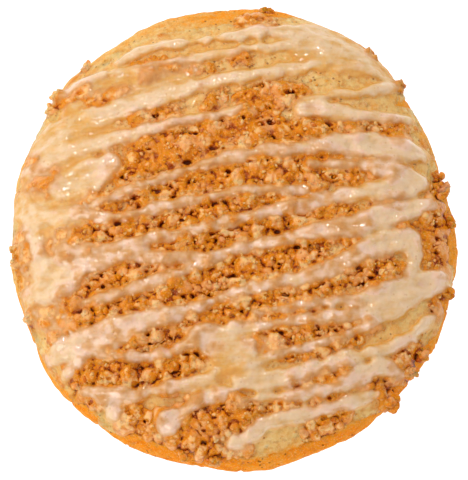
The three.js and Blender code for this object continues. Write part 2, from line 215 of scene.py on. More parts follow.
# How much the icing hides what is under it: where it is thin, where it is deep, and those two depths
COVER_ON_CRUMBS = (0.28, 1.0, 0.05, 0.7)
COVER_ON_DOUGH = (0.45, 1.0, 0.1, 0.8)
GLAZE_ON_CRUMBS = (0.0, 0.8, 0.1, 0.6)
GLAZE_ON_DOUGH = (0.55, 0.85, 0.1, 0.5)
WET_COVER = 0.2
COVERS_CRUMBS_OVER = (0.4, -0.5)  # distances from the edge over which it begins to hide them
COVERS_DOUGH_OVER = (0.3, -0.5)

# The maps of heights that the crumbs and the icing rest on
MAP_STEP = 0.2
MAP_HALF = 61
LOOK_FROM = 60                 # height from which the top is looked down on

# The bed of crumbs that have baked together: width of lumps, and tries to place one
BED_TRIES = [(4.2, 150), (3.2, 420), (2.4, 1300), (1.7, 5000), (1.1, 12000)]
BED_WIDTHS = (0.8, 1.2)        # their widths, as shares of that width
BED_LARGEST = (1.9, 4.7, 22, -4)  # width of the largest lumps, far and near, and y of these two
LARGEST_WAVES = (9, 0.8)       # size and reach of the waves in it
BED_PACKING = 0.8              # least distance between lumps, from half their widths
BED_BLENDS = (0.07, 0.17, 0, 22)  # height over which lumps run together, near and far, and y of these two
BED_FLATNESS = (1, 0.5, 0, 20)  # share of their rise that they keep, near and far, and y of these two
BED_TONE = 0.5                 # share of a lump's own tone, and tone of the gaps
GRAIN_TONE = 0.25              # share of a grain's own tone
BED_FLOOR = -0.9               # level of the bed's gaps, from the dough
LOWEST_LUMP = -2               # level below which a lump counts for nothing
BED_LIFTS = (0.5, 1.0)         # share of the bed's own height to which a lump is lifted
BED_SUNK = 0.15                # how far lumps sink into the dough
BED_MARGIN = 3.2               # from the cookie's outline
BED_ROOT = 1.6                 # how far the bed's underside lies below the top of the dough
BED_STANDS = -0.35             # height above the dough from which the bed fills a cell
BED_INSIDE = 0.15              # or depth in a patch
BED_OUTLINE = 0.9              # and distance from the cookie's outline
BED_RAGGED = [(5.0, 0.22), (2.0, 0.24)]  # size and reach of the waves in the edges of the patches
CRUMB_EDGE = 0.1               # depth in a patch over which its crumbs set in

# One lump of the bed
LUMP_SIDES = (5, 8)            # fewest sides, and one more than the most
SIDE_JITTER = 0.35             # how far a side may be turned, from the way between two
SIDE_REACHES = (0.75, 1.3)     # how far a side lies from the middle, from half the width
SIDE_SHARPNESS = 5             # how sharp the corners between sides are
LUMP_RISE = 0.26               # its height, as a share of its width
LUMP_FLATNESS = 2.6            # how flat it is on top, and so how steep at its sides
LUMP_SLANT = 0.2               # usual slope of its top
LUMP_ROUGHNESS = (1.1, 0.2)    # size and reach of the waves in its edge
FINE_ROUGHNESS = (0.6, 0.07)   # and of those on its top
GRANULES = [(2.1, 0.45), (1.1, 0.28)]  # size and height of the grains that it is made of
GRANULE_LEVEL = 0.6            # how high on a grain the bed's own level lies
GRANULE_SLIMNESS = 2.2         # how much sooner a grain ends across than along
GRANULE_GAP = 1.3              # how much sooner it ends than the next one begins

# Low places and pits in the bed
HOLLOWS = (5.5, 0.35, 0.9)     # size of the low places, where they start, and their depth
HOLLOW_EDGE = 0.25
HOLLOWS_OVER = (20, 4)         # y over which they set in
PIT_COUNT = 150
PIT_WIDTHS = (0.6, 1.5)
PIT_LENGTHS = (1.0, 2.2)       # as shares of the width
PIT_DEPTHS = (0.6, 1.4)
PIT_WALL = (0.5, 1.3)          # from its flat floor to its rim, as shares of half the width
# Partly painted shadow: dark pits at the near edges of the drizzles stand in for the shadow that the drizzles
# cast towards the near side
EDGE_SHADOW_PITS = 0.05               # share of the points along a drizzle with a pit at its near edge
EDGE_SHADOW_PIT_GAPS = (0.2, 1.2)     # distance of such a pit from that edge

# The loose crumbs on the bed: how many, and their least and largest width
CRUMB_KINDS = {
    "golden_crumbs": (280, 0.8, 1.8),
    "brown_crumbs": (220, 0.8, 1.7),
}
GRIT_COUNT = 3300
GRIT_WIDTH = (0.4, 1.2)
SMALL_POWER = 1.7              # more of the crumbs are small, the more this is above 1
CRUMB_LIFT = -0.06             # how far a crumb's middle lies above what it rests on, from its width
GRIT_LIFT = 0.1
CRUMB_STRAY = 0.1              # how far outside the patches crumbs still lie
GRIT_STRAY = 0.45
RESTING_SHARE = 0.8            # share of its width on which a crumb rests
CROWN_SHARE = 0.4              # height of its top above its middle, from its width
SEED = 7

# Places for lumps, pits and crumbs: half the side of the square they are drawn in, and how many at a time
BED_DRAW = 58
DRAWS_FOR_EACH = 8
LOOSE_DRAW = 57
DRAWS_AT_ONCE = 40

# The forms of the loose crumbs, in half widths
FORM_COUNT = 24
FORM_CUTS = 9                  # flat faces broken into each
CUT_REACHES = (0.55, 0.95)     # how far they lie from the middle
CUT_SLANT = 0.3                # the most slanting that they are met, as a cosine
CUT_SHARPNESS = 14             # how sharp the edges between them are
FORM_REACHES = (0.4, 1.1)      # the nearest and the farthest that the surface lies
FORM_WAVES = (0.5, 0.16)       # size and reach of the waves in its surface
FORM_STRETCHES = [(1.0, 1.5), (0.75, 1.05), (0.6, 0.9)]
FORM_TIP = 0.6                 # radians by which it may tip over
RIM_BUMPS = [(1.2, 0.2), (0.6, 0.1)]  # size and reach of the bumps on the crumbs at the rim
CRUMB_BUMPS = [(0.7, 0.16), (0.4, 0.07)]
GRIT_BUMPS = [(0.5, 0.04)]
CRUMB_DETAIL = 3               # how finely a form is divided
GRIT_DETAIL = 1

# How far the dough is baked, from 0 for pale to 1 for dark
BROWNED_TO = (5, 11.5, 0, 52)  # level up to which the side has browned, far and near, and -y of these two
BROWNED_EDGE = 1.2             # reach of the waves in that level, and height over which it fades
BROWNED_SIZE = 6.0             # size of those waves
LEFT_BROWNING = (0.65, 1, -50, -20)  # share of that browning, left and right, and x of these two
SHOULDER_OVER = (10.5, 17.0)   # levels over which the shoulder ends
FOOT_OVER = (0.0, 8.5)         # and the foot
HEAT_FROM = [(0.45, 0.89), (0.97, -0.24)]  # the directions in which the shoulder has browned more
HEAT_OVER = (30, 56)           # distances that way over which it has
BAKED_TOP = 0.06
BAKED_SHOULDER = 0.18
BAKED_SIDE = 0.4
BAKED_FOOT = 0.4
BAKED_HEAT = 0.3

# Marks that the colours go by
RIGHT_BROWNING = 0.2           # how much browner the bed is at the right
RIGHT_OVER = (15, 50)          # x over which it gets so
# The crumbs' common surface and the depth below it make the mask by which shade is painted into hollows and
# pits
ENVELOPE_REACH = 1.1           # reach over which the crumbs' common surface is taken
ENVELOPE_LIFT = 0.1            # and how far it lies above that
NESTLED_OVER = (-0.5, 1.5)     # depths below it from 0 to 1
DOUGH_NESTLED_FROM = 0.35      # depth at which that starts on the dough
DOUGH_SUNK = (0.05, 0.2)       # depths in a patch over which the dough is sunk under its crumbs
TOP_FROM = 12                  # level from which the dough counts as its top
BED_LEVEL = 8                  # level from which it may lie under the bed
OVER_CRUMBS_FADE = 0.5         # distance over which the colours of icing on crumbs and dough change
CRUMB_HEIGHTS = (0.25, 0.5)    # heights above the dough that count as a crumb
RIM_WETNESS = (0.1, 1, 1.8, 5.0)  # how glossy the icing is at the rim and inside, and their distances

# Share of the faces that the bed and the icing keep
BED_FACES = 0.27
ICING_FACES = 0.24

# Colours as the eye names them, 0 to 255
GOLDEN_CRUMB = {"Pale": (250, 194, 126), "Golden": (229, 138, 4), "Brown": (172, 70, 0)}
BROWN_CRUMB = {"Pale": (236, 172, 88), "Golden": (208, 110, 0), "Brown": (138, 48, 0)}
CRUMB_GRAIN = {"Light": (254, 198, 124), "Dark": (190, 88, 8)}
# Pale glaze film on the crumbs' tops, partly a painted sheen that stands in for their sugary highlights
CRUMB_GLAZE_AND_SHEEN = (248, 196, 144)
# Painted shade: the dark colour of crumbs deep in pits and gaps
CRUMB_PIT_SHADE = (98, 34, 0)
DOUGH_BAKES = [
    (0.0, (244, 202, 136)), (0.14, (239, 190, 116)), (0.28, (237, 173, 89)), (0.45, (244, 156, 42)),
    (0.65, (252, 146, 16)), (0.82, (232, 124, 10)), (1.0, (168, 80, 16)),
]
DOUGH_GRAIN = {"Light": (250, 214, 156), "Dark": (206, 132, 56)}
TOASTED_DOUGH = (232, 152, 48)
# Painted shade: the darker dough where crumbs lie on it
DOUGH_SHADE_UNDER_CRUMBS = (186, 100, 26)
# Dark dough deep in the gaps below the crumbs: partly caramel, partly painted shade
CARAMEL_AND_SHADE = (96, 36, 6)
DOUGH_FLECK = (120, 62, 20)
CREAM_DEPTHS = [
    (0.0, (224, 152, 46)), (0.3, (227, 168, 80)), (0.65, (230, 186, 128)), (1.0, (238, 202, 160)),
]
MILKY_DEPTHS = [
    (0.0, (208, 134, 46)), (0.3, (216, 156, 88)), (0.65, (229, 179, 132)), (1.0, (243, 203, 174)),
]
ICING_FLECK = (196, 132, 76)
ICED_BAKE = 0.17               # how far the dough under icing is baked
STREAK_TURN = -14              # degrees that bring the streaks in line with the drizzles
STREAK_STRETCH = 0.22          # their scale lengthways

# Lamps: place and width in metres, power in watts, and colour
LIT_MIDDLE = (0, 0, 0.015)
WINDOW = ((-0.5, 0.08, 0.27), 0.4, 0.44, (1.0, 0.89, 0.68))
FILL = ((-0.3, -0.46, 0.3), 0.3, 0.7, (1.0, 0.95, 0.86))
SPARKLE = (0.014, 0.07, (1.0, 1.0, 1.0))
SPARKLE_COUNT = 12
SPARKLE_DISTANCE = 0.5
SPARKLE_TILTS = (44, 28, 36)   # degrees from straight up, in turn
SPARKLE_FROM = 66              # degrees round from the right
SPARKLE_STEP = 9
ROOM_LIGHT = 0.6
TABLE_GLOW = 1.25
TABLE_HALF = 2.5
TABLE_LEVEL = -0.0002

# The camera looks almost straight down
CAMERA_TILT = 11.5
CAMERA_DISTANCE = 620
CAMERA_TARGET = (0.25, -2.0, 12)
CAMERA_LENS = 187.1
CAMERA_SENSOR = 36

# Random numbers that are the same each time: factors and shifts that mix a cell's place with a seed
CELL_FACTORS = (73856093, 19349663, 83492791)
SEED_FACTOR = 2654435
MIX_ROUNDS = ((15, 2246822519), (13, 3266489917))
LAST_SHIFT = 16
FIRST_CELL = 4096              # keeps the numbers of all cells above 0

# Seeds that keep the patterns of waves apart
SKIN_SEED = 1
PORE_SEED = 4
CRACK_SEED = 5
BEND_SEED = 6
BROWNING_SEED = 8
FORM_SEED = 40
BUMP_SEED = 60
RAGGED_SEED = 70
ROUGH_SEED = 71
FINE_SEED = 73
LARGEST_SEED = 75
HOLLOW_SEED = 76
WOBBLE_SEED = 80
GLAZE_SEED = 91
ICING_SEED = 92
GRANULE_SEED = 100

# The grid of the dough
TOP_RINGS = 118
FOOT_RINGS = 12
UNDER_RINGS = 6
RING_GROWTH = 6


def smooth_step(low, high, value):
    """0 on the low side, 1 on the high side, and a smooth rise between."""
    share = np.clip((value - low) / (high - low), 0, 1)
    return share * share * (3 - 2 * share)


def rise_between(rise, value):
    """A smooth rise from a first to a second level, between a low and a high value."""
    first, second, low, high = rise
    return first + (second - first) * smooth_step(low, high, value)


def cell_value(cells, seed):
    """A number from 0 to 1 for each whole-number cell, always the same for the same cell."""
    mask = np.uint64(0xFFFFFFFF)
    mixed = np.uint64(seed * SEED_FACTOR)
    for axis, factor in enumerate(CELL_FACTORS):
        mixed = mixed ^ (cells[..., axis].astype(np.uint64) * np.uint64(factor))
    for shift, factor in MIX_ROUNDS:
        mixed = ((mixed ^ (mixed >> np.uint64(shift))) * np.uint64(factor)) & mask
    return (mixed ^ (mixed >> np.uint64(LAST_SHIFT))).astype(float) / float(mask)


def grain(points, size, seed):
    """Smooth random waves of about this size, from -1 to 1, at each point."""
    places = np.asarray(points, float) / size + FIRST_CELL
    cells = np.floor(places).astype(np.int64)
    share = places - cells
    share = share * share * (3 - 2 * share)
    total = 0
    for corner in range(8):
        offset = np.array([corner & 1, corner >> 1 & 1, corner >> 2 & 1])
        weight = np.prod(np.where(offset, share, 1 - share), axis=-1)
        total = total + weight * cell_value(cells + offset, seed)
    return 2 * total - 1


def flat_points(x, y):
    return np.stack([x, y, np.zeros_like(x)], axis=-1)


def flat_grain(x, y, size, seed):
    """As grain, for places on the map."""
    return grain(flat_points(x, y), size, seed)


def outline_radius(angle):
    radius = np.full_like(angle, ACROSS / 2)
    for count, height, crest in OUTLINE_WAVES:
        radius += height * np.cos(count * (angle - math.radians(crest)))
    return radius


def rim_distance(x, y):
    """How far inside the cookie's outline a place lies."""
    return outline_radius(np.arctan2(y, x)) - np.hypot(x, y)


def dough_swell(x, y):
    across, along, aslant = SWELL_STARTS
    broad = np.sin(x / BROAD_SWELL[0] + across) * np.sin(y / BROAD_SWELL[1] + along)
    aslant = np.sin(x / SLANT_SWELL[0] - y / SLANT_SWELL[1] + aslant)
    return SWELL * (broad + SLANT_SHARE * aslant)


def dough_top(x, y):
    """Height of the bare dough above the underside."""
    share = np.minimum(np.hypot(x, y) / outline_radius(np.arctan2(y, x)), 1)
    dome = np.sqrt(1 - share ** SHOULDER_POWER)
    return WIDEST_LEVEL + (THICKNESS - WIDEST_LEVEL + dough_swell(x, y)) * dome


def crumb_depth(x, y, patches=CRUMB_PATCHES):
    """How far inside the nearest patch a point lies: 1 in its middle, 0 on its rim, less outside. The patches
    are those of the crumbs, unless others are given."""
    deepest = np.full_like(x, -9.0)
    for middle_x, middle_y, half_length, half_width, turn in patches:
        cosine, sine = math.cos(math.radians(turn)), math.sin(math.radians(turn))
        along = (x - middle_x) * cosine + (y - middle_y) * sine
        across = (y - middle_y) * cosine - (x - middle_x) * sine
        deepest = np.maximum(deepest, 1 - np.hypot(along / half_length, across / half_width))
    return deepest


def baked_top(x, y):
    """Height of the dough with its bed of crumbs, as in the solid."""
    return dough_top(x, y) + CRUMB_BED * smooth_step(0, BED_EDGE, crumb_depth(x, y))


def make_piece(name, vertices, faces, material, marks=None):
    """A smooth mesh object from points in millimetres, with named numbers on its points."""
    mesh = bpy.data.meshes.new(name)
    mesh.vertices.add(len(vertices))
    mesh.vertices.foreach_set("co", (np.asarray(vertices) * MM).astype(np.float32).ravel())
    faces = np.asarray(faces)
    count, corners = faces.shape
    mesh.loops.add(count * corners)
    mesh.loops.foreach_set("vertex_index", faces.astype(np.int32).ravel())
    mesh.polygons.add(count)
    mesh.polygons.foreach_set("loop_start", np.arange(0, count * corners, corners, dtype=np.int32))
    mesh.polygons.foreach_set("use_smooth", np.ones(count, bool))
    mesh.update(calc_edges=True)
    for mark, values in (marks or {}).items():
        attribute = mesh.attributes.new(mark, "FLOAT", "POINT")
        attribute.data.foreach_set("value", np.asarray(values, np.float32))
    mesh.materials.append(material)
    piece = bpy.data.objects.new(name, mesh)
    bpy.context.scene.collection.objects.link(piece)
    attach(piece, BODY)
    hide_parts(NODE)
    return piece


def zip_rings(lower, upper):
    """Faces between two rings of point numbers, whose counts may differ. A ring of one point is a tip."""
    faces = []
    low = high = 0
    while low < len(lower) or high < len(upper):
        low_point = lower[low % len(lower)]
        high_point = upper[high % len(upper)]
        if (low + 1) / len(lower) <= (high + 1) / len(upper):
            low += 1
            if len(lower) > 1:
                faces.append((low_point, lower[low % len(lower)], high_point))
        else:
            high += 1
            if len(upper) > 1:
                faces.append((low_point, upper[high % len(upper)], high_point))
    return faces


def skin_rings(rings):
    """One closed skin over rings of points, from the tip at one end to the tip at the other."""
    faces = []
    start = 0
    lower = None
    for ring in rings:
        upper = range(start, start + len(ring))
        if lower is not None:
            faces += zip_rings(lower, upper)
        lower = upper
        start += len(ring)
    return np.concatenate(rings), np.array(faces)


def ring_at(steps, share, inset, height):
    """A ring of points at a share of the way out to the widest level, less an inset. Without a height it
    lies on the top."""
    angle = np.arange(steps) / steps * 2 * math.pi
    radius = outline_radius(angle) * share - inset
    x, y = radius * np.cos(angle), radius * np.sin(angle)
    level = dough_top(x, y) if height is None else np.full(steps, float(height))
    ripple = SIDE_RIPPLE * np.sin(RIPPLE_COUNT * angle + np.minimum(level, WIDEST_LEVEL) / RIPPLE_LEAN)
    ripple = ripple * min(level.min() / WIDEST_LEVEL, 1) * share ** RIPPLE_FADE
    reach = 1 + ripple / np.maximum(radius, 1)
    return np.stack([x * reach, y * reach, level], axis=-1)


def dough_skin():
    """The dough's points and faces, from the middle of the underside round the side to the top's middle."""
    round_steps = TOP_RINGS * RING_GROWTH
    rings = [np.zeros((1, 3))]
    for ring in range(1, UNDER_RINGS):
        share = ring / UNDER_RINGS
        rings.append(ring_at(round(round_steps * share), share, FOOT_INSET * share, 0))
    for ring in range(FOOT_RINGS + 1):
        height = WIDEST_LEVEL * ring / FOOT_RINGS
        rings.append(ring_at(round_steps, 1, FOOT_INSET * (1 - height / WIDEST_LEVEL) ** 2, height))
    for ring in range(TOP_RINGS - 1, 0, -1):
        rings.append(ring_at(ring * RING_GROWTH, math.sin(ring / TOP_RINGS * math.pi / 2), 0, None))
    middle = np.zeros(1)
    rings.append(np.stack([middle, middle, dough_top(middle, middle)], axis=-1))
    return skin_rings(rings)


def skin_normals(points, faces):
    """The outward direction at each point of a skin of triangles."""
    sides = points[faces]
    across = np.cross(sides[:, 1] - sides[:, 0], sides[:, 2] - sides[:, 0])
    normals = np.zeros_like(points)
    for corner in range(3):
        np.add.at(normals, faces[:, corner], across)
    return normals / np.maximum(np.linalg.norm(normals, axis=1, keepdims=True), 1e-9)


def dough_relief(points):
    """How far the baked skin stands in or out at each point: low lumps, fine grain, pores, and cracks at the
    shoulder."""
    share = np.hypot(points[:, 0], points[:, 1]) / outline_radius(np.arctan2(points[:, 1], points[:, 0]))
    lumps = sum(reach * grain(points, size, seed) for seed, (size, reach) in enumerate(SKIN_WAVES, SKIN_SEED))
    pore_size, pore_depth = PORES
    pores = -pore_depth * smooth_step(*PORES_OVER, grain(points, pore_size, PORE_SEED))
    crack_size, crack_depth = CRACKS
    bend_size, bend_reach = CRACK_BENDS
    line = np.abs(grain(points, crack_size, CRACK_SEED) + bend_reach * grain(points, bend_size, BEND_SEED))
    cracks = -crack_depth * (1 - smooth_step(0.0, CRACK_WIDTH, line)) * smooth_step(*CRACKED_FROM, share)
    return (lumps + pores + cracks) * smooth_step(0.0, FLAT_FOOT, points[:, 2])


def map_axes():
    line = np.arange(-MAP_HALF, MAP_HALF + MAP_STEP / 2, MAP_STEP)
    return np.meshgrid(line, line, indexing="ij")


def map_cell(value):
    return (np.asarray(value) + MAP_HALF) / MAP_STEP


def read_map(heights, x, y):
    """The map's value at any points, between its cells by straight lines."""
    across, along = map_cell(x), map_cell(y)
    column = np.clip(across.astype(int), 0, heights.shape[0] - 2)
    row = np.clip(along.astype(int), 0, heights.shape[1] - 2)
    share_x, share_y = across - column, along - row
    near = heights[column, row] * (1 - share_y) + heights[column, row + 1] * share_y
    far = heights[column + 1, row] * (1 - share_y) + heights[column + 1, row + 1] * share_y
    return near * (1 - share_x) + far * share_x


def soften(heights, reach):
    """The map blurred over this reach in millimetres."""
    steps = int(3 * reach / MAP_STEP) + 1
    weights = np.exp(-0.5 * (np.arange(-steps, steps + 1) * MAP_STEP / reach) ** 2)
    weights /= weights.sum()
    padded = np.pad(heights, steps, mode="edge")
    along = sum(weight * padded[index:index + heights.shape[0]] for index, weight in enumerate(weights))
    return sum(weight * along[:, index:index + heights.shape[1]] for index, weight in enumerate(weights))


def nugget_spots():
    """Places and widths of the larger crumbs, by the solid's own rule."""
    spots = []
    draw = 0
    while len(spots) < NUGGET_COUNT:
        draw += 1
        x, y = ((draw * step % 1 * 2 - 1) * SOURCE_SPREAD for step in PLACE_STEP)
        width = LARGEST_NUGGET + (SMALLEST_NUGGET - LARGEST_NUGGET) * math.sqrt(len(spots) / NUGGET_COUNT)
        place = np.array([x]), np.array([y])
        inside = crumb_depth(*place)[0] > 0 and rim_distance(*place)[0] > NUGGET_MARGIN
        clear = all(math.hypot(x - a, y - b) > NUGGET_SPACING * (width + other) for a, b, other in spots)
        if inside and clear:
            spots.append((x, y, width))
    for degrees, width in RIM_NUGGETS:
        angle = math.radians(degrees)
        radius = outline_radius(np.array([angle]))[0] - RIM_INSET
        spots.append((radius * math.cos(angle), radius * math.sin(angle), width))
    return np.array(spots)


def lump_forms(detail, rng):
    """Several lumps about 2 wide, each broken along flat cuts and rounded, and the faces that they share."""
    ball = bmesh.new()
    bmesh.ops.create_icosphere(ball, subdivisions=detail, radius=1)
    ball.verts.ensure_lookup_table()
    ways = np.array([vert.co for vert in ball.verts])
    faces = np.array([[vert.index for vert in face.verts] for face in ball.faces])
    ball.free()
    size, wave = FORM_WAVES
    forms = []
    for number in range(FORM_COUNT):
        normals = rng.normal(size=(FORM_CUTS, 3))
        normals /= np.linalg.norm(normals, axis=1, keepdims=True)
        cuts = rng.uniform(*CUT_REACHES, FORM_CUTS) / np.maximum(ways @ normals.T, CUT_SLANT)
        radius = -np.log(np.exp(-CUT_SHARPNESS * cuts).sum(axis=1)) / CUT_SHARPNESS
        radius = np.clip(radius, *FORM_REACHES) * (1 + wave * grain(ways, size, FORM_SEED + number))
        forms.append(ways * radius[:, None])
    return np.array(forms), faces


def turns(count, rng):
    """Random turns: any way round, and tipped over a little."""
    yaw = rng.uniform(0, 2 * math.pi, count)
    pitch = rng.uniform(-FORM_TIP, FORM_TIP, count)
    roll = rng.uniform(-FORM_TIP, FORM_TIP, count)
    zero, one = np.zeros(count), np.ones(count)
    cosine, sine = np.cos(yaw), np.sin(yaw)
    about_z = np.array([[cosine, -sine, zero], [sine, cosine, zero], [zero, zero, one]])
    cosine, sine = np.cos(pitch), np.sin(pitch)
    about_x = np.array([[one, zero, zero], [zero, cosine, -sine], [zero, sine, cosine]])
    cosine, sine = np.cos(roll), np.sin(roll)
    about_y = np.array([[cosine, zero, sine], [zero, one, zero], [-sine, zero, cosine]])
    return np.einsum("ijn,jkn,kln->nil", about_z, about_x, about_y)


def build_lumps(spots, detail, bumps, rng):
    """Points, faces and tones of many crumbs, from the x, y, height of the middle and width of each, and from
    the size and reach of the bumps on them."""
    forms, faces = lump_forms(detail, rng)
    count = len(spots)
    stretch = np.stack([rng.uniform(low, high, count) for low, high in FORM_STRETCHES], axis=-1)
    half_width = spots[:, 3] / 2
    lumps = forms[rng.integers(len(forms), size=count)] * (stretch * half_width[:, None])[:, None, :]
    lumps = np.einsum("nij,npj->npi", turns(count, rng), lumps)
    ways = lumps / np.maximum(np.linalg.norm(lumps, axis=2, keepdims=True), 1e-9)
    lumps = lumps + spots[:, None, :3]
    for size, reach in bumps:
        lumps = lumps + ways * reach * grain(lumps, size, BUMP_SEED)[..., None]
    starts = np.arange(count)[:, None, None] * forms.shape[1]
    tones = np.repeat(rng.random(count), forms.shape[1])
    return lumps.reshape(-1, 3), (faces[None] + starts).reshape(-1, 3), tones


def settle(heights, x, y, width, lift):
    """The height at which a crumb's middle comes to rest on the map, which then holds the crumb too."""
    window, across, along = window_at(x, y, width / 2)
    away = np.hypot(across, along) / (width / 2)
    under = heights[window]
    middle = under[away < RESTING_SHARE].mean() + lift * width
    crown = middle + CROWN_SHARE * width * np.sqrt(np.maximum(1 - away ** 2, 0))
    heights[window] = np.where(away < 1, np.maximum(under, crown), under)
    return middle


def ragged_depth(x, y):
    """As crumb_depth, with the thin spreads too and ragged edges."""
    depth = np.maximum(crumb_depth(x, y), SPREAD_FILL * crumb_depth(x, y, CRUMB_SPREADS))
    for size, reach in BED_RAGGED:
        depth = depth + reach * flat_grain(x, y, size, round(RAGGED_SEED + size))
    return depth


def where_crumbs_lie(x, y):
    """1 where crumbs lie and 0 on bare dough, with a narrow change between."""
    return smooth_step(-CRUMB_EDGE, CRUMB_EDGE, ragged_depth(x, y))


def patch_spots(count, rng):
    """Random places in the patches of crumbs."""
    x, y = rng.uniform(-BED_DRAW, BED_DRAW, (2, count * DRAWS_FOR_EACH))
    fit = np.flatnonzero((ragged_depth(x, y) > 0) & (rim_distance(x, y) > BED_MARGIN))[:count]
    return x[fit], y[fit]


def window_at(x, y, reach):
    """The map's cells within a reach of a place, and how far each lies from it across and along."""
    steps = int(reach / MAP_STEP) + 1
    column, row = round(float(map_cell(x))), round(float(map_cell(y)))
    window = (slice(column - steps, column + steps + 1), slice(row - steps, row + steps + 1))
    offset = np.arange(-steps, steps + 1) * MAP_STEP
    return window, *np.meshgrid(offset, offset, indexing="ij")


def pack_lumps(rng):
    """Places and widths of the bed's lumps, the largest first, each only a little over its neighbours."""
    lumps = nugget_spots()[:NUGGET_COUNT]
    wave_size, wave = LARGEST_WAVES
    for size, tries in BED_TRIES:
        x, y = patch_spots(tries, rng)
        widths = size * rng.uniform(*BED_WIDTHS, len(x))
        largest = rise_between(BED_LARGEST, y) + wave * flat_grain(x, y, wave_size, LARGEST_SEED)
        for spot in np.stack([x, y, widths], axis=-1)[widths < largest]:
            away = np.hypot(lumps[:, 0] - spot[0], lumps[:, 1] - spot[1])
            if np.all(away > BED_PACKING * (lumps[:, 2] + spot[2]) / 2):
                lumps = np.vstack([lumps, spot])
    return lumps


def bed_lumps(rng):
    """The lumps of the bed: x, y, width, lift above the dough, and tone of each."""
    x, y, width = pack_lumps(rng).T
    size, start, depth = HOLLOWS
    hollow = smooth_step(start, start + HOLLOW_EDGE, flat_grain(x, y, size, HOLLOW_SEED))
    hollow = hollow * smooth_step(*HOLLOWS_OVER, y)
    rise = smooth_step(-BED_SUNK, BED_EDGE, ragged_depth(x, y))
    lift = CRUMB_BED * rise * rng.uniform(*BED_LIFTS, len(x)) - BED_SUNK - depth * hollow
    lift[:NUGGET_COUNT] = CRUMB_BED
    return np.stack([x, y, width, lift, rng.random(len(x))], axis=-1)


def chunk_spread(across, along, size, rng):
    """How far out each cell lies on a lump with uneven flat sides: 0 in its middle, 1 on its edge."""
    sides = rng.integers(*LUMP_SIDES)
    start = rng.uniform(0, 2 * math.pi)
    jitter = rng.uniform(-SIDE_JITTER, SIDE_JITTER, sides)
    ways = start + (np.arange(sides) + jitter) / sides * 2 * math.pi
    reaches = rng.uniform(*SIDE_REACHES, sides) * size
    total = 0
    for way, reach in zip(ways, reaches):
        out = np.maximum(across * math.cos(way) + along * math.sin(way), 0) / reach
        total = total + out ** SIDE_SHARPNESS
    return total ** (1 / SIDE_SHARPNESS)


def granules(x, y, size, seed):
    """Grains packed side by side: how high each place lies on its grain, from 0 in the gaps to 1, and the
    grain's own number from 0 to 1."""
    across, along = x / size + FIRST_CELL, y / size + FIRST_CELL
    column, row = np.floor(across).astype(np.int64), np.floor(along).astype(np.int64)
    nearest = np.full(x.shape, 9.0)
    own = np.zeros(x.shape)
    for neighbour in range(9):
        cells = flat_points(column + neighbour % 3 - 1, row + neighbour // 3 - 1)
        shift_x, shift_y, turn, number = (cell_value(cells, seed + part) for part in range(4))
        away_x = across - cells[..., 0] - shift_x
        away_y = along - cells[..., 1] - shift_y
        cosine, sine = np.cos(turn * math.pi), np.sin(turn * math.pi)
        lengthways = np.abs(away_x * cosine + away_y * sine) ** 3
        sideways = np.abs(away_y * cosine - away_x * sine) ** 3 * GRANULE_SLIMNESS
        closer = lengthways + sideways < nearest
        nearest = np.where(closer, lengthways + sideways, nearest)
        own = np.where(closer, number, own)
    return np.sqrt(np.maximum(1 - GRANULE_GAP * nearest ** (2 / 3), 0)), own


def bake_bed(rng):
    """Height above the dough, and tone, of a bed of lumps that have run together, with pits in it."""
    x, y = map_axes()
    rough = LUMP_ROUGHNESS[1] * flat_grain(x, y, LUMP_ROUGHNESS[0], ROUGH_SEED)
    blend = rise_between(BED_BLENDS, y)
    flatter = rise_between(BED_FLATNESS, y)
    total = np.exp(BED_FLOOR / blend)
    toned = BED_TONE * total
    for at_x, at_y, width, lift, tone in bed_lumps(rng):
        window, across, along = window_at(at_x, at_y, width)
        spread = np.maximum(chunk_spread(across, along, width / 2, rng) + rough[window], 0)
        slope_x, slope_y = rng.normal(0, LUMP_SLANT, 2)
        rise = LUMP_RISE * width * flatter[window] * (1 - spread ** LUMP_FLATNESS)
        height = lift + rise + slope_x * across + slope_y * along
        weight = np.exp(np.maximum(height, LOWEST_LUMP) / blend[window])
        total[window] += weight
        toned[window] += weight * tone
    bed = blend * np.log(total) + FINE_ROUGHNESS[1] * flat_grain(x, y, FINE_ROUGHNESS[0], FINE_SEED)
    bed -= bake_pits(rough, rng)
    tones = BED_TONE * toned / total
    for size, height in GRANULES:
        rounded, own = granules(x, y, size, GRANULE_SEED)
        bed += height * (rounded - GRANULE_LEVEL)
        tones += GRAIN_TONE * own
    return bed, tones


def pit_spots(rng):
    """Places of pits: some anywhere in the bed, and more at the near edges of the drizzles, where their
    darkness is partly a painted shadow of the drizzles.
    """
    anywhere = np.stack(patch_spots(PIT_COUNT, rng), axis=-1)
    lines = np.concatenate([drizzle_points(points) for points in DRIZZLES])
    edges = lines[rng.random(len(lines)) < EDGE_SHADOW_PITS]
    edges[:, 1] -= edges[:, 2] / 2 + rng.uniform(*EDGE_SHADOW_PIT_GAPS, len(edges))
    edges = edges[ragged_depth(edges[:, 0], edges[:, 1]) > CRUMB_EDGE]
    return np.concatenate([anywhere, edges[:, :2]])


def bake_pits(rough, rng):
    """Depth of the small dark pits in the bed."""
    pits = np.zeros(rough.shape)
    for at_x, at_y in pit_spots(rng):
        width = rng.uniform(*PIT_WIDTHS)
        window, across, along = window_at(at_x, at_y, 2 * width)
        length = rng.uniform(*PIT_LENGTHS)
        spread = np.hypot(across / length, along) / (width / 2) + 2 * rough[window]
        depth = rng.uniform(*PIT_DEPTHS) * (1 - smooth_step(*PIT_WALL, spread))
        pits[window] = np.maximum(pits[window], depth)
    return pits


def square_corners(cells):
    """The values at the four corners of each square of the map, in turn round the square."""
    return np.stack([cells[:-1, :-1], cells[1:, :-1], cells[1:, 1:], cells[:-1, 1:]], axis=-1)


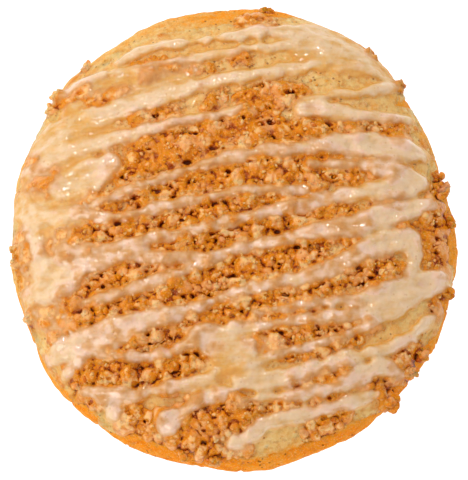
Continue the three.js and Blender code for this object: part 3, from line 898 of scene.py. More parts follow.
def map_squares(chosen):
    """The numbers of the points at the corners of the chosen squares."""
    numbers = np.arange((chosen.shape[0] + 1) * (chosen.shape[1] + 1))
    return square_corners(numbers.reshape(chosen.shape[0] + 1, -1))[chosen]


def bed_squares(bed):
    """The map's squares that the bed fills."""
    x, y = map_axes()
    stands = (bed > BED_STANDS) | (ragged_depth(x, y) > BED_INSIDE)
    stands &= rim_distance(x, y) > BED_OUTLINE
    return map_squares(square_corners(stands).any(axis=-1))


def scatter_crumbs(heights, count, widths, lift, stray, rng):
    """Spots for small crumbs in and round the patches, each resting on what is already there."""
    spots = []
    low, high = widths
    while len(spots) < count:
        x, y = rng.uniform(-LOOSE_DRAW, LOOSE_DRAW, (2, DRAWS_AT_ONCE))
        fit = (ragged_depth(x, y) > -stray) & (rim_distance(x, y) > BED_MARGIN)
        for pick in np.flatnonzero(fit)[:count - len(spots)]:
            width = low + (high - low) * rng.random() ** SMALL_POWER
            spots.append((x[pick], y[pick], settle(heights, x[pick], y[pick], width, lift), width))
    return np.array(spots)


def look_down(skins):
    """The height of the highest skin over each cell of the map."""
    points = np.concatenate([skin[0] for skin in skins])
    starts = np.cumsum([0] + [len(skin[0]) for skin in skins[:-1]])
    faces = np.concatenate([skin[1] + start for skin, start in zip(skins, starts)])
    tree = BVHTree.FromPolygons(points.tolist(), faces.tolist())
    x, y = map_axes()
    down = Vector((0, 0, -1))
    heights = np.full(x.shape, np.nan)
    near = np.flatnonzero(np.hypot(x, y) < MAP_HALF)
    for cell in near:
        hit = tree.ray_cast(Vector((x.flat[cell], y.flat[cell], LOOK_FROM)), down)[0]
        if hit is not None:
            heights.flat[cell] = hit.z
    return np.where(np.isnan(heights), 0, heights)


def drizzle_points(points):
    """Points close together along a drizzle, on a smooth curve through its own points."""
    knots = np.array(points, float)
    knots = np.concatenate([[2 * knots[0] - knots[1]], knots, [2 * knots[-1] - knots[-2]]])
    line = []
    for a, b, c, d in zip(knots, knots[1:], knots[2:], knots[3:]):
        count = max(2, int(np.hypot(*(c - b)[:2]) / DRIZZLE_STEP))
        t = np.linspace(0, 1, count, endpoint=False)[:, None]
        bend = (2 * a - 5 * b + 4 * c - d) * t ** 2
        twist = (3 * b - a - 3 * c + d) * t ** 3
        line.append(0.5 * (2 * b + (c - a) * t + bend + twist))
    return np.concatenate(line + [knots[-2:-1]])


def edge_distance():
    """For each cell, how far outside the icing's edge it lies in millimetres; less than 0 inside."""
    x, y = map_axes()
    sides = len(x)
    total = np.zeros(x.shape)
    lines = [drizzle_points(points) for points in DRIZZLES] + [np.array([drop]) for drop in DROPS]
    for line in lines:
        distance = np.full(x.shape, 9.0)
        for at_x, at_y, width in line:
            reach = int((width / 2 + MERGING_REACH) / MAP_STEP)
            column, row = round(float(map_cell(at_x))), round(float(map_cell(at_y)))
            window = (slice(max(column - reach, 0), min(column + reach, sides)),
                      slice(max(row - reach, 0), min(row + reach, sides)))
            away = np.hypot(x[window] - at_x, y[window] - at_y) - width / 2
            distance[window] = np.minimum(distance[window], away)
        total += np.exp(-distance / MERGING)
    distance = -MERGING * np.log(np.maximum(total, 1e-6))
    for size, reach in EDGE_WOBBLES:
        distance += reach * flat_grain(x, y, size, round(WOBBLE_SEED + size))
    return distance


class IcingPlan:
    """Where the icing lies on the map, cell by cell, and how deep it is there."""

    def __init__(self):
        x, y = map_axes()
        self.x, self.y = x, y
        self.room = rim_distance(x, y)
        self.on_crumbs = soften(where_crumbs_lie(x, y), CRUMBS_FADE)
        size, reach = GLAZE_WAVES
        glaze = crumb_depth(x, y, GLAZES) + reach * flat_grain(x, y, size, GLAZE_SEED)
        self.glaze = smooth_step(0, GLAZE_EDGE, glaze) * smooth_step(*GLAZE_ROOM, self.room)
        self.distance = edge_distance() - ICING_RUN
        self.wet = WET_ON_CRUMBS * self.on_crumbs + WET_ON_DOUGH * (1 - self.on_crumbs)

    def depths(self):
        """The icing's depth over what it lies on, and how much more has sunk into the dough."""
        rise = np.clip(-self.distance / ICING_EDGE, 0, 1)
        gentle = smooth_step(*GENTLE_RISE, -self.distance / ICING_EDGE)
        arch = ICING_BULGE * np.sqrt(1 - (1 - rise) ** 2) + (1 - ICING_BULGE) * gentle
        depth = ICING_DEPTH * (1 - SOAK * self.on_crumbs) * (1 - GLAZE_SINK * self.glaze) * arch
        depth *= smooth_step(*ICING_ROOM, self.room)
        depth *= 1 - RIM_LOSS * smooth_step(*RIM_LOSS_OVER, self.room) * smooth_step(*RIM_LOSS_SIDE, self.x)
        sunk = POOL_SINK * smooth_step(*POOL_OVER, -self.distance) * depth
        glaze_depth = GLAZE_DEPTH * self.glaze * (1 - GLAZE_SOAK * self.on_crumbs)
        lower = (1 - self.glaze) * (CRUMBS_PROUD * self.on_crumbs + np.clip(self.distance, 0, 1))
        depth = np.maximum(depth - sunk, glaze_depth) - lower
        for number, (size, reach) in enumerate(ICING_LUMPS):
            waves = reach * flat_grain(self.x, self.y, size, ICING_SEED + number)
            depth = depth + waves * smooth_step(*LUMPS_OVER, -self.distance)
        return depth, sunk

    def film(self):
        """The least icing over a crumb, less towards the wet edge."""
        wet = np.maximum(smooth_step(self.wet, 0.0, self.distance), self.glaze)
        inside = smooth_step(*FILM_OVER, self.distance)
        return ICING_FILM * (FILM_OUTSIDE * wet + (1 - FILM_OUTSIDE) * inside)

    def top(self, heights, dough, depth):
        """The icing's upper height: it fills the hollows between crumbs and thins over their tops."""
        slope = np.hypot(*np.gradient(soften(dough, SLOPE_REACH), MAP_STEP))
        steep = np.minimum(np.sqrt(1 + slope ** 2), STEEPEST)
        wide = smooth_step(*WIDE_OVER, -self.distance)
        narrow_reach, wide_reach = LEVELLING
        level = soften(heights, narrow_reach) * (1 - wide) + soften(heights, wide_reach) * wide
        film = self.film()
        top = np.maximum(level + depth * steep, heights + film)
        smooth = smooth_step(*SMOOTH_OVER, self.distance)
        top = soften(top, SMOOTHING) * smooth + top * (1 - smooth)
        soft = self.glaze * (1 - self.on_crumbs)
        top = soften(top, GLAZE_SMOOTHING) * soft + top * (1 - soft)
        return np.maximum(top, heights + film / 2)

    def cover(self, depth):
        """How much the icing hides what is under it: less where it is thin, and least in its wet film."""
        crumbs = smooth_step(*COVERS_CRUMBS_OVER, self.distance) * rise_between(COVER_ON_CRUMBS, depth)
        crumbs = np.maximum(crumbs, self.glaze * rise_between(GLAZE_ON_CRUMBS, depth))
        dough = smooth_step(*COVERS_DOUGH_OVER, self.distance) * rise_between(COVER_ON_DOUGH, depth)
        dough = np.maximum(dough, WET_COVER * smooth_step(self.wet, COVERS_DOUGH_OVER[0], self.distance))
        dough = np.maximum(dough, self.glaze * rise_between(GLAZE_ON_DOUGH, depth))
        return crumbs * self.on_crumbs + dough * (1 - self.on_crumbs)

    def squares(self):
        """The map's squares that the icing fills."""
        inside = ((self.distance < self.wet) | (self.glaze > 0)) & (self.room > ICING_MARGIN)
        return map_squares(square_corners(inside).all(axis=-1))


def icing_skin(heights, dough):
    """The icing's upper and lower height, its squares, its depth, and how much it covers."""
    plan = IcingPlan()
    depth, sunk = plan.depths()
    top = plan.top(heights, dough, depth)
    depth = soften(top - heights + sunk, SMOOTHING)
    bottom = dough - ICING_ROOT
    top = np.maximum(top, bottom + THINNEST_SHEET)
    return top, bottom, plan.squares(), depth, plan.cover(depth)


def close_sheet(top, bottom, quads, *layers):
    """A sheet over the map and its underside, closed along their common edge, with each layer's value at its
    points."""
    x, y = map_axes()
    used = np.unique(quads)
    place = np.full(x.size, -1)
    place[used] = np.arange(len(used))
    upper = place[quads]
    lower = upper[:, ::-1] + len(used)
    edges = np.concatenate([upper[:, [side, (side + 1) % 4]] for side in range(4)])
    key = edges[:, 0] * len(used) + edges[:, 1]
    back = edges[:, 1] * len(used) + edges[:, 0]
    rim = edges[~np.isin(key, back)]
    walls = np.stack([rim[:, 1], rim[:, 0], rim[:, 0] + len(used), rim[:, 1] + len(used)], axis=-1)
    points = np.concatenate([
        np.stack([x.flat[used], y.flat[used], top.flat[used]], axis=-1),
        np.stack([x.flat[used], y.flat[used], bottom.flat[used]], axis=-1),
    ])
    values = [np.tile(layer.flat[used], 2) for layer in layers]
    return points, np.concatenate([upper, lower, walls]), *values


def thin_out(piece, share):
    """Keep only this share of a piece's faces, with its shape."""
    fewer = piece.modifiers.new("fewer_faces", "DECIMATE")
    fewer.ratio = share


def tint(red, green, blue):
    """A colour as the eye names it, 0 to 255, as the linear colour that a material takes."""
    shares = np.array([red, green, blue]) / 255
    linear = np.where(shares <= 0.04045, shares / 12.92, ((shares + 0.055) / 1.055) ** 2.4)
    return (*(float(value) for value in linear), 1.0)


def per(size):
    """The scale of a texture whose detail is this many millimetres across."""
    return 1 / (size * MM)


class Nodes:
    """Short calls to place and join a material's nodes."""

    def __init__(self, tree):
        self.tree = tree

    def add(self, kind, **settings):
        node = self.tree.nodes.new(kind)
        for name, value in settings.items():
            setattr(node, name, value)
        return node

    def link(self, source, target):
        self.tree.links.new(source, target)

    def feed(self, target, value):
        """Join a socket to another, or give it a value. A colour is given as the eye names it."""
        if isinstance(value, bpy.types.NodeSocket):
            self.link(value, target)
        elif isinstance(value, tuple):
            target.default_value = tint(*value)
        else:
            target.default_value = value

    def place(self):
        return self.add("ShaderNodeTexCoord").outputs["Object"]

    def mark(self, name):
        return self.add("ShaderNodeAttribute", attribute_name=name).outputs["Fac"]

    def noise(self, size, detail=2.0, roughness=0.5, where=None):
        node = self.add("ShaderNodeTexNoise")
        node.inputs["Scale"].default_value = per(size)
        node.inputs["Detail"].default_value = detail
        node.inputs["Roughness"].default_value = roughness
        self.link(where or self.place(), node.inputs["Vector"])
        return node.outputs["Fac"]

    def waves(self, size, reach, **shape):
        """Noise that goes up and down about 0, by up to half of this reach."""
        return self.times(self.minus(self.noise(size, **shape), 0.5), reach)

    def span(self, value, low, high, to_low=0.0, to_high=1.0):
        node = self.add("ShaderNodeMapRange", interpolation_type="SMOOTHSTEP")
        parts = {"Value": value, "From Min": low, "From Max": high, "To Min": to_low, "To Max": to_high}
        for name, part in parts.items():
            self.feed(node.inputs[name], part)
        return node.outputs["Result"]

    def reckon(self, operation, first, second):
        node = self.add("ShaderNodeMath", operation=operation)
        self.feed(node.inputs[0], first)
        self.feed(node.inputs[1], second)
        return node.outputs[0]

    def plus(self, first, second):
        return self.reckon("ADD", first, second)

    def minus(self, first, second):
        return self.reckon("SUBTRACT", first, second)

    def times(self, first, second):
        return self.reckon("MULTIPLY", first, second)

    def mix(self, share, first, second):
        node = self.add("ShaderNodeMix", data_type="RGBA")
        self.feed(node.inputs[0], share)
        self.feed(node.inputs[6], first)
        self.feed(node.inputs[7], second)
        return node.outputs[2]

    def ramp(self, value, stops):
        node = self.add("ShaderNodeValToRGB")
        elements = node.color_ramp.elements
        while len(elements) < len(stops):
            elements.new(1.0)
        for element, (position, colour) in zip(elements, stops):
            element.position = position
            element.color = tint(*colour)
        self.link(value, node.inputs[0])
        return node.outputs[0]

    def bump(self, height, distance, strength):
        node = self.add("ShaderNodeBump")
        node.inputs["Strength"].default_value = strength
        node.inputs["Distance"].default_value = distance * MM
        self.link(height, node.inputs["Height"])
        return node.outputs["Normal"]

    def use(self, group, **values):
        """Place a group of nodes. An underscore in a name stands for a space."""
        node = self.add("ShaderNodeGroup", node_tree=group)
        for name, value in values.items():
            self.feed(node.inputs[name.replace("_", " ")], value)
        return node


def start_group(name, inputs, outputs):
    """An empty node group with named sockets: (name, kind, default)."""
    group = bpy.data.node_groups.new(name, "ShaderNodeTree")
    for label, kind, default in inputs:
        socket = group.interface.new_socket(label, in_out="INPUT", socket_type=kind)
        socket.default_value = default
    for label, kind in outputs:
        group.interface.new_socket(label, in_out="OUTPUT", socket_type=kind)
    nodes = Nodes(group)
    return group, nodes, nodes.add("NodeGroupInput").outputs, nodes.add("NodeGroupOutput").inputs


def start_material(name):
    material = bpy.data.materials.new(name)
    material.use_nodes = True
    nodes = Nodes(material.node_tree)
    return material, nodes, material.node_tree.nodes["Principled BSDF"].inputs


def make_sandy_grain():
    """Fine baked grain: a colour made lighter and darker in specks, and its height for a bump."""
    group, nodes, given, out = start_group(
        "sandy_grain",
        [("Colour", "NodeSocketColor", (0.5, 0.5, 0.5, 1)), ("Light", "NodeSocketColor", (0.8, 0.8, 0.8, 1)),
         ("Dark", "NodeSocketColor", (0.1, 0.1, 0.1, 1)), ("Strength", "NodeSocketFloat", 0.5)],
        [("Colour", "NodeSocketColor"), ("Height", "NodeSocketFloat")],
    )
    fine = nodes.noise(0.42, detail=3.0, roughness=0.65)
    coarse = nodes.noise(1.3)
    light = nodes.times(nodes.span(fine, 0.52, 0.66), given["Strength"])
    dark = nodes.times(nodes.span(coarse, 0.47, 0.34), given["Strength"])
    lit = nodes.mix(light, given["Colour"], given["Light"])
    nodes.link(nodes.mix(dark, lit, given["Dark"]), out["Colour"])
    nodes.link(nodes.plus(fine, nodes.times(coarse, 0.6)), out["Height"])
    return group


def make_crumb_colour(sandy_grain):
    """Sugary baked crumbs: golden, mottled paler and browner, with fine grains, with painted light and shade
    that makes their tops paler and their low parts browner, a painted shade that makes them dark where they
    nestle deep, and a glaze film on their tops that is also a painted sheen."""
    group, nodes, given, out = start_group(
        "crumb_colour",
        [("Tone", "NodeSocketFloat", 0.5), ("Nestled", "NodeSocketFloat", 0.0),
         ("Pale", "NodeSocketColor", (0.8, 0.6, 0.3, 1)), ("Golden", "NodeSocketColor", (0.7, 0.4, 0.1, 1)),
         ("Brown", "NodeSocketColor", (0.3, 0.1, 0.02, 1))],
        [("Colour", "NodeSocketColor"), ("Height", "NodeSocketFloat")],
    )
    mottle = nodes.waves(3.4, reach=1.7, roughness=0.6)
    small = nodes.waves(1.2, reach=0.8)
    # Painted light and shade: the tone is raised on the crumbs' tops and lowered where they lie deep below
    # their common surface
    painted_light_and_shade = nodes.minus(0.2, nodes.times(given["Nestled"], 1.2))
    tone = nodes.times(nodes.minus(given["Tone"], 0.5), 0.8)
    tone = nodes.plus(nodes.plus(tone, nodes.plus(mottle, small)), painted_light_and_shade)
    browned_and_shaded = nodes.mix(nodes.span(tone, -0.7, -0.2), given["Brown"], given["Golden"])
    own = nodes.mix(nodes.span(tone, 0.05, 0.5), browned_and_shaded, given["Pale"])
    sandy = nodes.use(sandy_grain, Colour=own, **CRUMB_GRAIN, Strength=0.4)
    # A pale film laid on the crumbs' tops only, partly a glaze and partly a painted sheen for their sugary
    # highlights
    on_top = nodes.span(given["Nestled"], 0.5, 0.1)
    film = nodes.times(nodes.span(nodes.noise(4.5), 0.5, 0.62), on_top)
    glazed_and_sheen = nodes.mix(nodes.times(film, 0.4), sandy.outputs["Colour"], CRUMB_GLAZE_AND_SHEEN)
    # Painted shade: crumbs deep in the pits and gaps are darkened towards the pit colour
    deep = nodes.span(given["Nestled"], 0.62, 0.92)
    nodes.link(nodes.mix(deep, glazed_and_sheen, CRUMB_PIT_SHADE), out["Colour"])
    nodes.link(sandy.outputs["Height"], out["Height"])
    return group


def make_dough_colour(sandy_grain, spice_flecks):
    """Baked dough: pale on top, golden at the shoulder, deep orange below, mottled, and with painted shade
    where crumbs lie on it, darkest deep below them."""
    group, nodes, given, out = start_group(
        "dough_colour",
        [("Bake", "NodeSocketFloat", 0.0), ("Under crumbs", "NodeSocketFloat", 0.0),
         ("Nestled", "NodeSocketFloat", 0.0)],
        [("Colour", "NodeSocketColor"), ("Height", "NodeSocketFloat")],
    )
    broad = nodes.waves(8.0, reach=0.4)
    small = nodes.waves(1.6, reach=0.7, detail=3.0, roughness=0.6)
    base = nodes.ramp(nodes.plus(given["Bake"], nodes.plus(broad, small)), DOUGH_BAKES)
    toasted = nodes.times(nodes.span(nodes.noise(2.0, detail=3.0, roughness=0.6), 0.56, 0.64), 0.5)
    base = nodes.mix(toasted, base, TOASTED_DOUGH)
    # Painted shade: the dough where crumbs lie on it is darkened
    browned_and_shaded = nodes.mix(given["Under crumbs"], base, DOUGH_SHADE_UNDER_CRUMBS)
    # Painted shade, partly caramel: dough that lies deep below the crumbs' common surface is darkened
    caramel_and_shade = nodes.mix(given["Nestled"], browned_and_shaded, CARAMEL_AND_SHADE)
    sandy = nodes.use(sandy_grain, Colour=caramel_and_shade, **DOUGH_GRAIN, Strength=0.4)
    flecks = nodes.use(spice_flecks, Colour=sandy.outputs["Colour"], Fleck=DOUGH_FLECK, Amount=0.75)
    nodes.link(flecks.outputs["Colour"], out["Colour"])
    nodes.link(nodes.minus(sandy.outputs["Height"], flecks.outputs["Mask"]), out["Height"])
    return group


def make_spice_flecks():
    """Small dark flecks and pores scattered through dough and icing."""
    group, nodes, given, out = start_group(
        "spice_flecks",
        [("Colour", "NodeSocketColor", (0.5, 0.5, 0.5, 1)),
         ("Fleck", "NodeSocketColor", (0.1, 0.03, 0.01, 1)), ("Amount", "NodeSocketFloat", 0.5)],
        [("Colour", "NodeSocketColor"), ("Mask", "NodeSocketFloat")],
    )
    cells = nodes.add("ShaderNodeTexVoronoi")
    cells.inputs["Scale"].default_value = per(1.5)
    nodes.link(nodes.place(), cells.inputs["Vector"])
    spots = nodes.span(cells.outputs["Distance"], 0.26, 0.12)
    some = nodes.span(nodes.noise(2.6, detail=1.0), 0.5, 0.58)
    mask = nodes.times(nodes.times(spots, some), given["Amount"])
    nodes.link(nodes.mix(mask, given["Colour"], given["Fleck"]), out["Colour"])
    nodes.link(mask, out["Mask"])
    return group


def dough_finish(dough_colour):
    """Baked dough with pores and a fine crumb."""
    material, nodes, skin = start_material("baked_dough")
    bake, under_crumbs, nestled_deep = (nodes.mark(name) for name in ("bake", "under_crumbs", "nestled"))
    colour = nodes.use(dough_colour, Bake=bake, Under_crumbs=under_crumbs, Nestled=nestled_deep)
    nodes.link(colour.outputs["Colour"], skin["Base Color"])
    nodes.link(nodes.bump(colour.outputs["Height"], distance=0.25, strength=0.8), skin["Normal"])
    skin["Roughness"].default_value = 0.7
    skin["Specular IOR Level"].default_value = 0.05
    skin["Subsurface Weight"].default_value = 0.3
    skin["Subsurface Radius"].default_value = (1.0, 0.45, 0.2)
    skin["Subsurface Scale"].default_value = 1.2 * MM
    return material


def crumb_finish(name, crumb_colour, palette):
    """Butter crumbs baked with sugar: soft, a little see-through at their edges, and faintly glossy."""
    material, nodes, skin = start_material(name)
    colour = nodes.use(crumb_colour, Tone=nodes.mark("tone"), Nestled=nodes.mark("nestled"), **palette)
    nodes.link(colour.outputs["Colour"], skin["Base Color"])
    nodes.link(nodes.bump(colour.outputs["Height"], distance=0.16, strength=0.9), skin["Normal"])
    skin["Roughness"].default_value = 0.3
    skin["Specular IOR Level"].default_value = 0.08
    skin["Subsurface Weight"].default_value = 0.6
    skin["Subsurface Radius"].default_value = (1.0, 0.6, 0.3)
    skin["Subsurface Scale"].default_value = 0.7 * MM
    skin["Coat Weight"].default_value = 0.25
    skin["Coat Roughness"].default_value = 0.15
    return material


def icing_colour(nodes, crumb_colour, dough_colour, cloud):
    """The icing's own colour by its depth, and the colour of what lies under it."""
    # What lies under the icing keeps its painted shade: crumbs dark where they nestle deep, and dough
    # darkened where crumbs lie
    crumbs = nodes.use(crumb_colour, Tone=nodes.mark("tone"), Nestled=nodes.mark("nestled"), **GOLDEN_CRUMB)
    dough = nodes.use(dough_colour, Bake=ICED_BAKE, Under_crumbs=nodes.mark("over_crumbs"))
    under = nodes.mix(nodes.mark("over_crumbs"), dough.outputs["Colour"], crumbs.outputs["Colour"])
    along = nodes.add("ShaderNodeMapping")
    nodes.link(nodes.place(), along.inputs["Vector"])
    along.inputs["Rotation"].default_value = (0, 0, math.radians(STREAK_TURN))
    along.inputs["Scale"].default_value = (STREAK_STRETCH, 1, 1)
    streaks = nodes.waves(1.6, reach=1.9, where=along.outputs["Vector"])
    waves = nodes.plus(cloud, streaks)
    deep_on_dough = nodes.span(nodes.plus(nodes.mark("icing_depth"), waves), 0.1, 2.1)
    calmer = nodes.times(waves, 0.5)
    deep_on_crumbs = nodes.span(nodes.plus(nodes.mark("icing_depth"), calmer), 0.1, 1.6)
    cream = nodes.ramp(deep_on_dough, CREAM_DEPTHS)
    milky = nodes.ramp(deep_on_crumbs, MILKY_DEPTHS)
    return nodes.mix(nodes.mark("over_crumbs"), cream, milky), under


def icing_finish(crumb_colour, dough_colour, spice_flecks):
    """Glossy sugar icing: cream where it is deep, milky over crumbs, and showing what is under it where it is
    thin."""
    material, nodes, skin = start_material("icing")
    cloud = nodes.waves(2.0, reach=1.2, detail=3.0)
    own, under = icing_colour(nodes, crumb_colour, dough_colour, cloud)
    cover = nodes.plus(nodes.mark("cover"), nodes.times(cloud, 0.4))
    seen = nodes.mix(nodes.span(cover, 0.02, 0.9), under, own)
    flecks = nodes.use(spice_flecks, Colour=seen, Fleck=ICING_FLECK, Amount=0.35)
    nodes.link(flecks.outputs["Colour"], skin["Base Color"])
    ripples = nodes.noise(1.4, detail=1.0, roughness=0.45)
    nodes.link(nodes.bump(ripples, distance=0.46, strength=0.9), skin["Normal"])
    wet = nodes.times(nodes.span(cover, 0.3, 0.75, to_low=0.1, to_high=0.9), nodes.mark("wetness"))
    nodes.link(wet, skin["Coat Weight"])
    skin["Roughness"].default_value = 0.45
    skin["Specular IOR Level"].default_value = 0.2
    skin["Subsurface Weight"].default_value = 0.4
    skin["Subsurface Radius"].default_value = (1.0, 0.6, 0.35)
    skin["Subsurface Scale"].default_value = 1.6 * MM
    skin["Coat Roughness"].default_value = 0.08
    skin["Coat IOR"].default_value = 1.7
    return material


def bake_level(points):
    """How far each point of the dough is baked, from 0 on the pale top to 1 under the foot."""
    x, y, height = points.T
    level = height + BROWNED_EDGE * grain(points, BROWNED_SIZE, BROWNING_SEED)
    browned_to = rise_between(BROWNED_TO, -y)
    side = 1 - smooth_step(-BROWNED_EDGE, BROWNED_EDGE, level - browned_to)
    side = side * rise_between(LEFT_BROWNING, x)
    shoulder = 1 - smooth_step(*SHOULDER_OVER, level)
    foot = 1 - smooth_step(*FOOT_OVER, level)
    heat = np.max([smooth_step(*HEAT_OVER, x * way_x + y * way_y) for way_x, way_y in HEAT_FROM], axis=0)
    bake = BAKED_TOP + BAKED_SHOULDER * shoulder + BAKED_SIDE * side + BAKED_FOOT * foot
    return bake + BAKED_HEAT * heat * (1 - side)


def bake_dough():
    """The dough's points and faces, with its skin's relief, and sunk where the crumbs cover it."""
    points, faces = dough_skin()
    covered = smooth_step(*DOUGH_SUNK, ragged_depth(points[:, 0], points[:, 1])) * (points[:, 2] > TOP_FROM)
    relief = dough_relief(points) - covered
    return points + skin_normals(points, faces) * relief[:, None], faces


def make_dough(dough_colour, skin, envelope):
    points, faces = skin
    x, y, level = points.T
    in_bed = smooth_step(BED_MARGIN - 1, BED_MARGIN, rim_distance(x, y)) * (level > BED_LEVEL)
    marks = {
        "bake": bake_level(points),
        # Masks of painted shade: where crumbs lie on the dough, and how deep it lies below them
        "under_crumbs": where_crumbs_lie(x, y) * in_bed,
        "nestled": nestled(points, envelope, DOUGH_NESTLED_FROM) * in_bed,
    }
    return make_piece("dough", points, faces, dough_finish(dough_colour), marks)


def nestled(points, envelope, start=NESTLED_OVER[0]):
    """How deep points lie below the crumbs' common surface: 0 on the crumbs' tops, 1 in the pits. This is the
    mask of the painted shade in hollows and pits.
    """
    return smooth_step(start, NESTLED_OVER[1], read_map(envelope, points[:, 0], points[:, 1]) - points[:, 2])


def make_icing(heights, envelope, dough, tones, finish):
    x, y = map_axes()
    over_crumbs = soften(where_crumbs_lie(x, y), OVER_CRUMBS_FADE)
    over_crumbs = np.maximum(over_crumbs, smooth_step(*CRUMB_HEIGHTS, heights - dough))
    wetness = rise_between(RIM_WETNESS, rim_distance(x, y))
    layers = (*icing_skin(heights, dough), tones, over_crumbs, wetness)
    points, faces, depths, covers, tones, over_crumbs, wetness = close_sheet(*layers)
    marks = {
        "icing_depth": depths,
        "cover": covers,
        "tone": tones,
        "nestled": nestled(points, envelope),
        "over_crumbs": over_crumbs,
        "wetness": wetness,
    }
    icing = make_piece("icing", points, faces, finish, marks)
    thin_out(icing, ICING_FACES)


def rim_clusters(rng):
    """The larger crumbs at the rim, each a core with smaller ones baked onto it: x, y, height and width."""
    spots = nugget_spots()[NUGGET_COUNT:]
    middles = baked_top(spots[:, 0], spots[:, 1]) + NUGGET_STANDS * spots[:, 2]
    cores = np.column_stack([spots[:, :2], middles, RIM_CORE * spots[:, 2]])
    around = np.repeat(cores, RIM_SATELLITES, axis=0)
    ways = rng.normal(size=(len(around), 3))
    ways[:, 2] = np.abs(ways[:, 2])
    ways /= np.linalg.norm(ways, axis=1, keepdims=True)
    around[:, :3] += ways * SATELLITE_REACH * around[:, 3:]
    around[:, 3] *= rng.uniform(*SATELLITE_WIDTHS, len(around))
    return np.concatenate([cores, around])


def gather_crumbs(pile, rng):
    """Points, faces and tones of the loose crumbs, by piece: those at the rim, then smaller ones inside."""
    points, faces, tones = build_lumps(rim_clusters(rng), CRUMB_DETAIL, RIM_BUMPS, rng)
    own, left, right = RIM_TONES
    tones = own * tones + left * smooth_step(0, -RIM_TONES_OVER, points[:, 0])
    tones = tones - right * smooth_step(0, RIM_TONES_OVER, points[:, 0])
    crumbs = {"rim_nuggets": (points, faces, tones)}
    for name, (count, *widths) in CRUMB_KINDS.items():
        spots = scatter_crumbs(pile, count, widths, CRUMB_LIFT, CRUMB_STRAY, rng)
        crumbs[name] = build_lumps(spots, CRUMB_DETAIL, CRUMB_BUMPS, rng)
    spots = scatter_crumbs(pile, GRIT_COUNT, GRIT_WIDTH, GRIT_LIFT, GRIT_STRAY, rng)
    crumbs["grit"] = build_lumps(spots, GRIT_DETAIL, GRIT_BUMPS, rng)
    return crumbs


def make_crumbs(crumbs, envelope, golden, brown):
    """The pieces of loose crumbs: golden, but for the brown ones."""
    for name, (points, faces, tones) in crumbs.items():
        finish = brown if name == "brown_crumbs" else golden
        marks = {"tone": tones, "nestled": nestled(points, envelope)}
        make_piece(name, points, faces, finish, marks)


def make_bed(dough, bed, tones, envelope, finish):
    points, faces, tones = close_sheet(dough + bed, dough - BED_ROOT, bed_squares(bed), tones)
    marks = {"tone": tones, "nestled": nestled(points, envelope)}
    piece = make_piece("crumb_bed", points, faces, finish, marks)
    thin_out(piece, BED_FACES)


def make_cookie():
    """The cookie's pieces: dough, crumbs of several sizes, and icing over them."""
    rng = np.random.default_rng(SEED)
    sandy_grain, spice_flecks = make_sandy_grain(), make_spice_flecks()
    crumb_colour, dough_colour = make_crumb_colour(sandy_grain), make_dough_colour(sandy_grain, spice_flecks)
    golden = crumb_finish("golden_crumb", crumb_colour, GOLDEN_CRUMB)
    brown = crumb_finish("brown_crumb", crumb_colour, BROWN_CRUMB)

    skin = bake_dough()
    x, y = map_axes()
    dough = dough_top(x, y)
    bed, tones = bake_bed(rng)
    tones -= RIGHT_BROWNING * smooth_step(*RIGHT_OVER, x)
    crumbs = gather_crumbs(dough + np.maximum(bed, 0), rng)
    heights = np.maximum(look_down([skin, *crumbs.values()]), dough + bed)
    envelope = soften(heights, ENVELOPE_REACH) + ENVELOPE_LIFT

    make_dough(dough_colour, skin, envelope)
    make_bed(dough, bed, tones, envelope, golden)
    make_crumbs(crumbs, envelope, golden, brown)
    make_icing(heights, envelope, dough, tones, icing_finish(crumb_colour, dough_colour, spice_flecks))


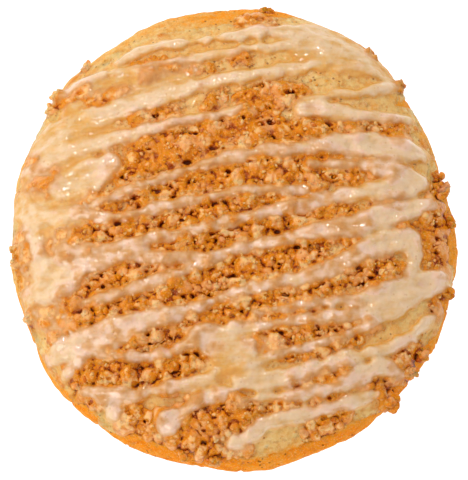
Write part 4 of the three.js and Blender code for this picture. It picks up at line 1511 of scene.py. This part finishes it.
def make_floor():
    """A plain pale table top."""
    material, _, skin = start_material("table")
    skin["Base Color"].default_value = (0, 0, 0, 1)
    skin["Specular IOR Level"].default_value = 0
    skin["Emission Color"].default_value = (1, 1, 1, 1)
    skin["Emission Strength"].default_value = TABLE_GLOW
    mesh = bpy.data.meshes.new("table")
    corners = [(TABLE_HALF * x, TABLE_HALF * y, 0) for x, y in ((-1, -1), (1, -1), (1, 1), (-1, 1))]
    mesh.from_pydata(corners, [], [(0, 1, 2, 3)])
    mesh.materials.append(material)
    floor = bpy.data.objects.new("table", mesh)
    floor.location.z = TABLE_LEVEL
    bpy.context.scene.collection.objects.link(floor)


def aim(thing, target):
    direction = Vector(target) - thing.location
    thing.rotation_euler = direction.to_track_quat("-Z", "Y").to_euler()


def add_lamp(name, place, size, power, colour):
    lamp = bpy.data.lights.new(name, "AREA")
    lamp.shape = "DISK"
    lamp.size = size
    lamp.energy = power
    lamp.color = colour
    thing = bpy.data.objects.new(name, lamp)
    thing.location = place
    bpy.context.scene.collection.objects.link(thing)
    aim(thing, LIT_MIDDLE)


def light_studio():
    """Soft daylight from the left, a fill from the near side, and an arc of small bright lamps over the far
    side that bring out the relief and sparkle in the icing."""
    add_lamp("window", *WINDOW)
    add_lamp("fill", *FILL)
    for number in range(SPARKLE_COUNT):
        around = math.radians(SPARKLE_FROM + SPARKLE_STEP * number)
        tilt = math.radians(SPARKLE_TILTS[number % len(SPARKLE_TILTS)])
        level = math.sin(tilt)
        way = Vector((level * math.cos(around), level * math.sin(around), math.cos(tilt)))
        add_lamp(f"sparkle_{number}", way * SPARKLE_DISTANCE, *SPARKLE)
    world = bpy.data.worlds.new("room")
    world.use_nodes = True
    world.node_tree.nodes["Background"].inputs["Color"].default_value = (1, 1, 1, 1)
    world.node_tree.nodes["Background"].inputs["Strength"].default_value = ROOM_LIGHT
    bpy.context.scene.world = world
    bpy.context.scene.view_settings.view_transform = "Standard"


def add_camera():
    lens = bpy.data.cameras.new("camera")
    lens.lens = CAMERA_LENS
    lens.sensor_width = CAMERA_SENSOR
    lens.clip_start = 0.01
    camera = bpy.data.objects.new("camera", lens)
    tilt = math.radians(CAMERA_TILT)
    target = Vector(CAMERA_TARGET) * MM
    camera.location = target + Vector((0, -math.sin(tilt), math.cos(tilt))) * CAMERA_DISTANCE * MM
    bpy.context.scene.collection.objects.link(camera)
    aim(camera, target)
    bpy.context.scene.camera = camera


add_camera()
make_floor()
light_studio()
make_cookie()
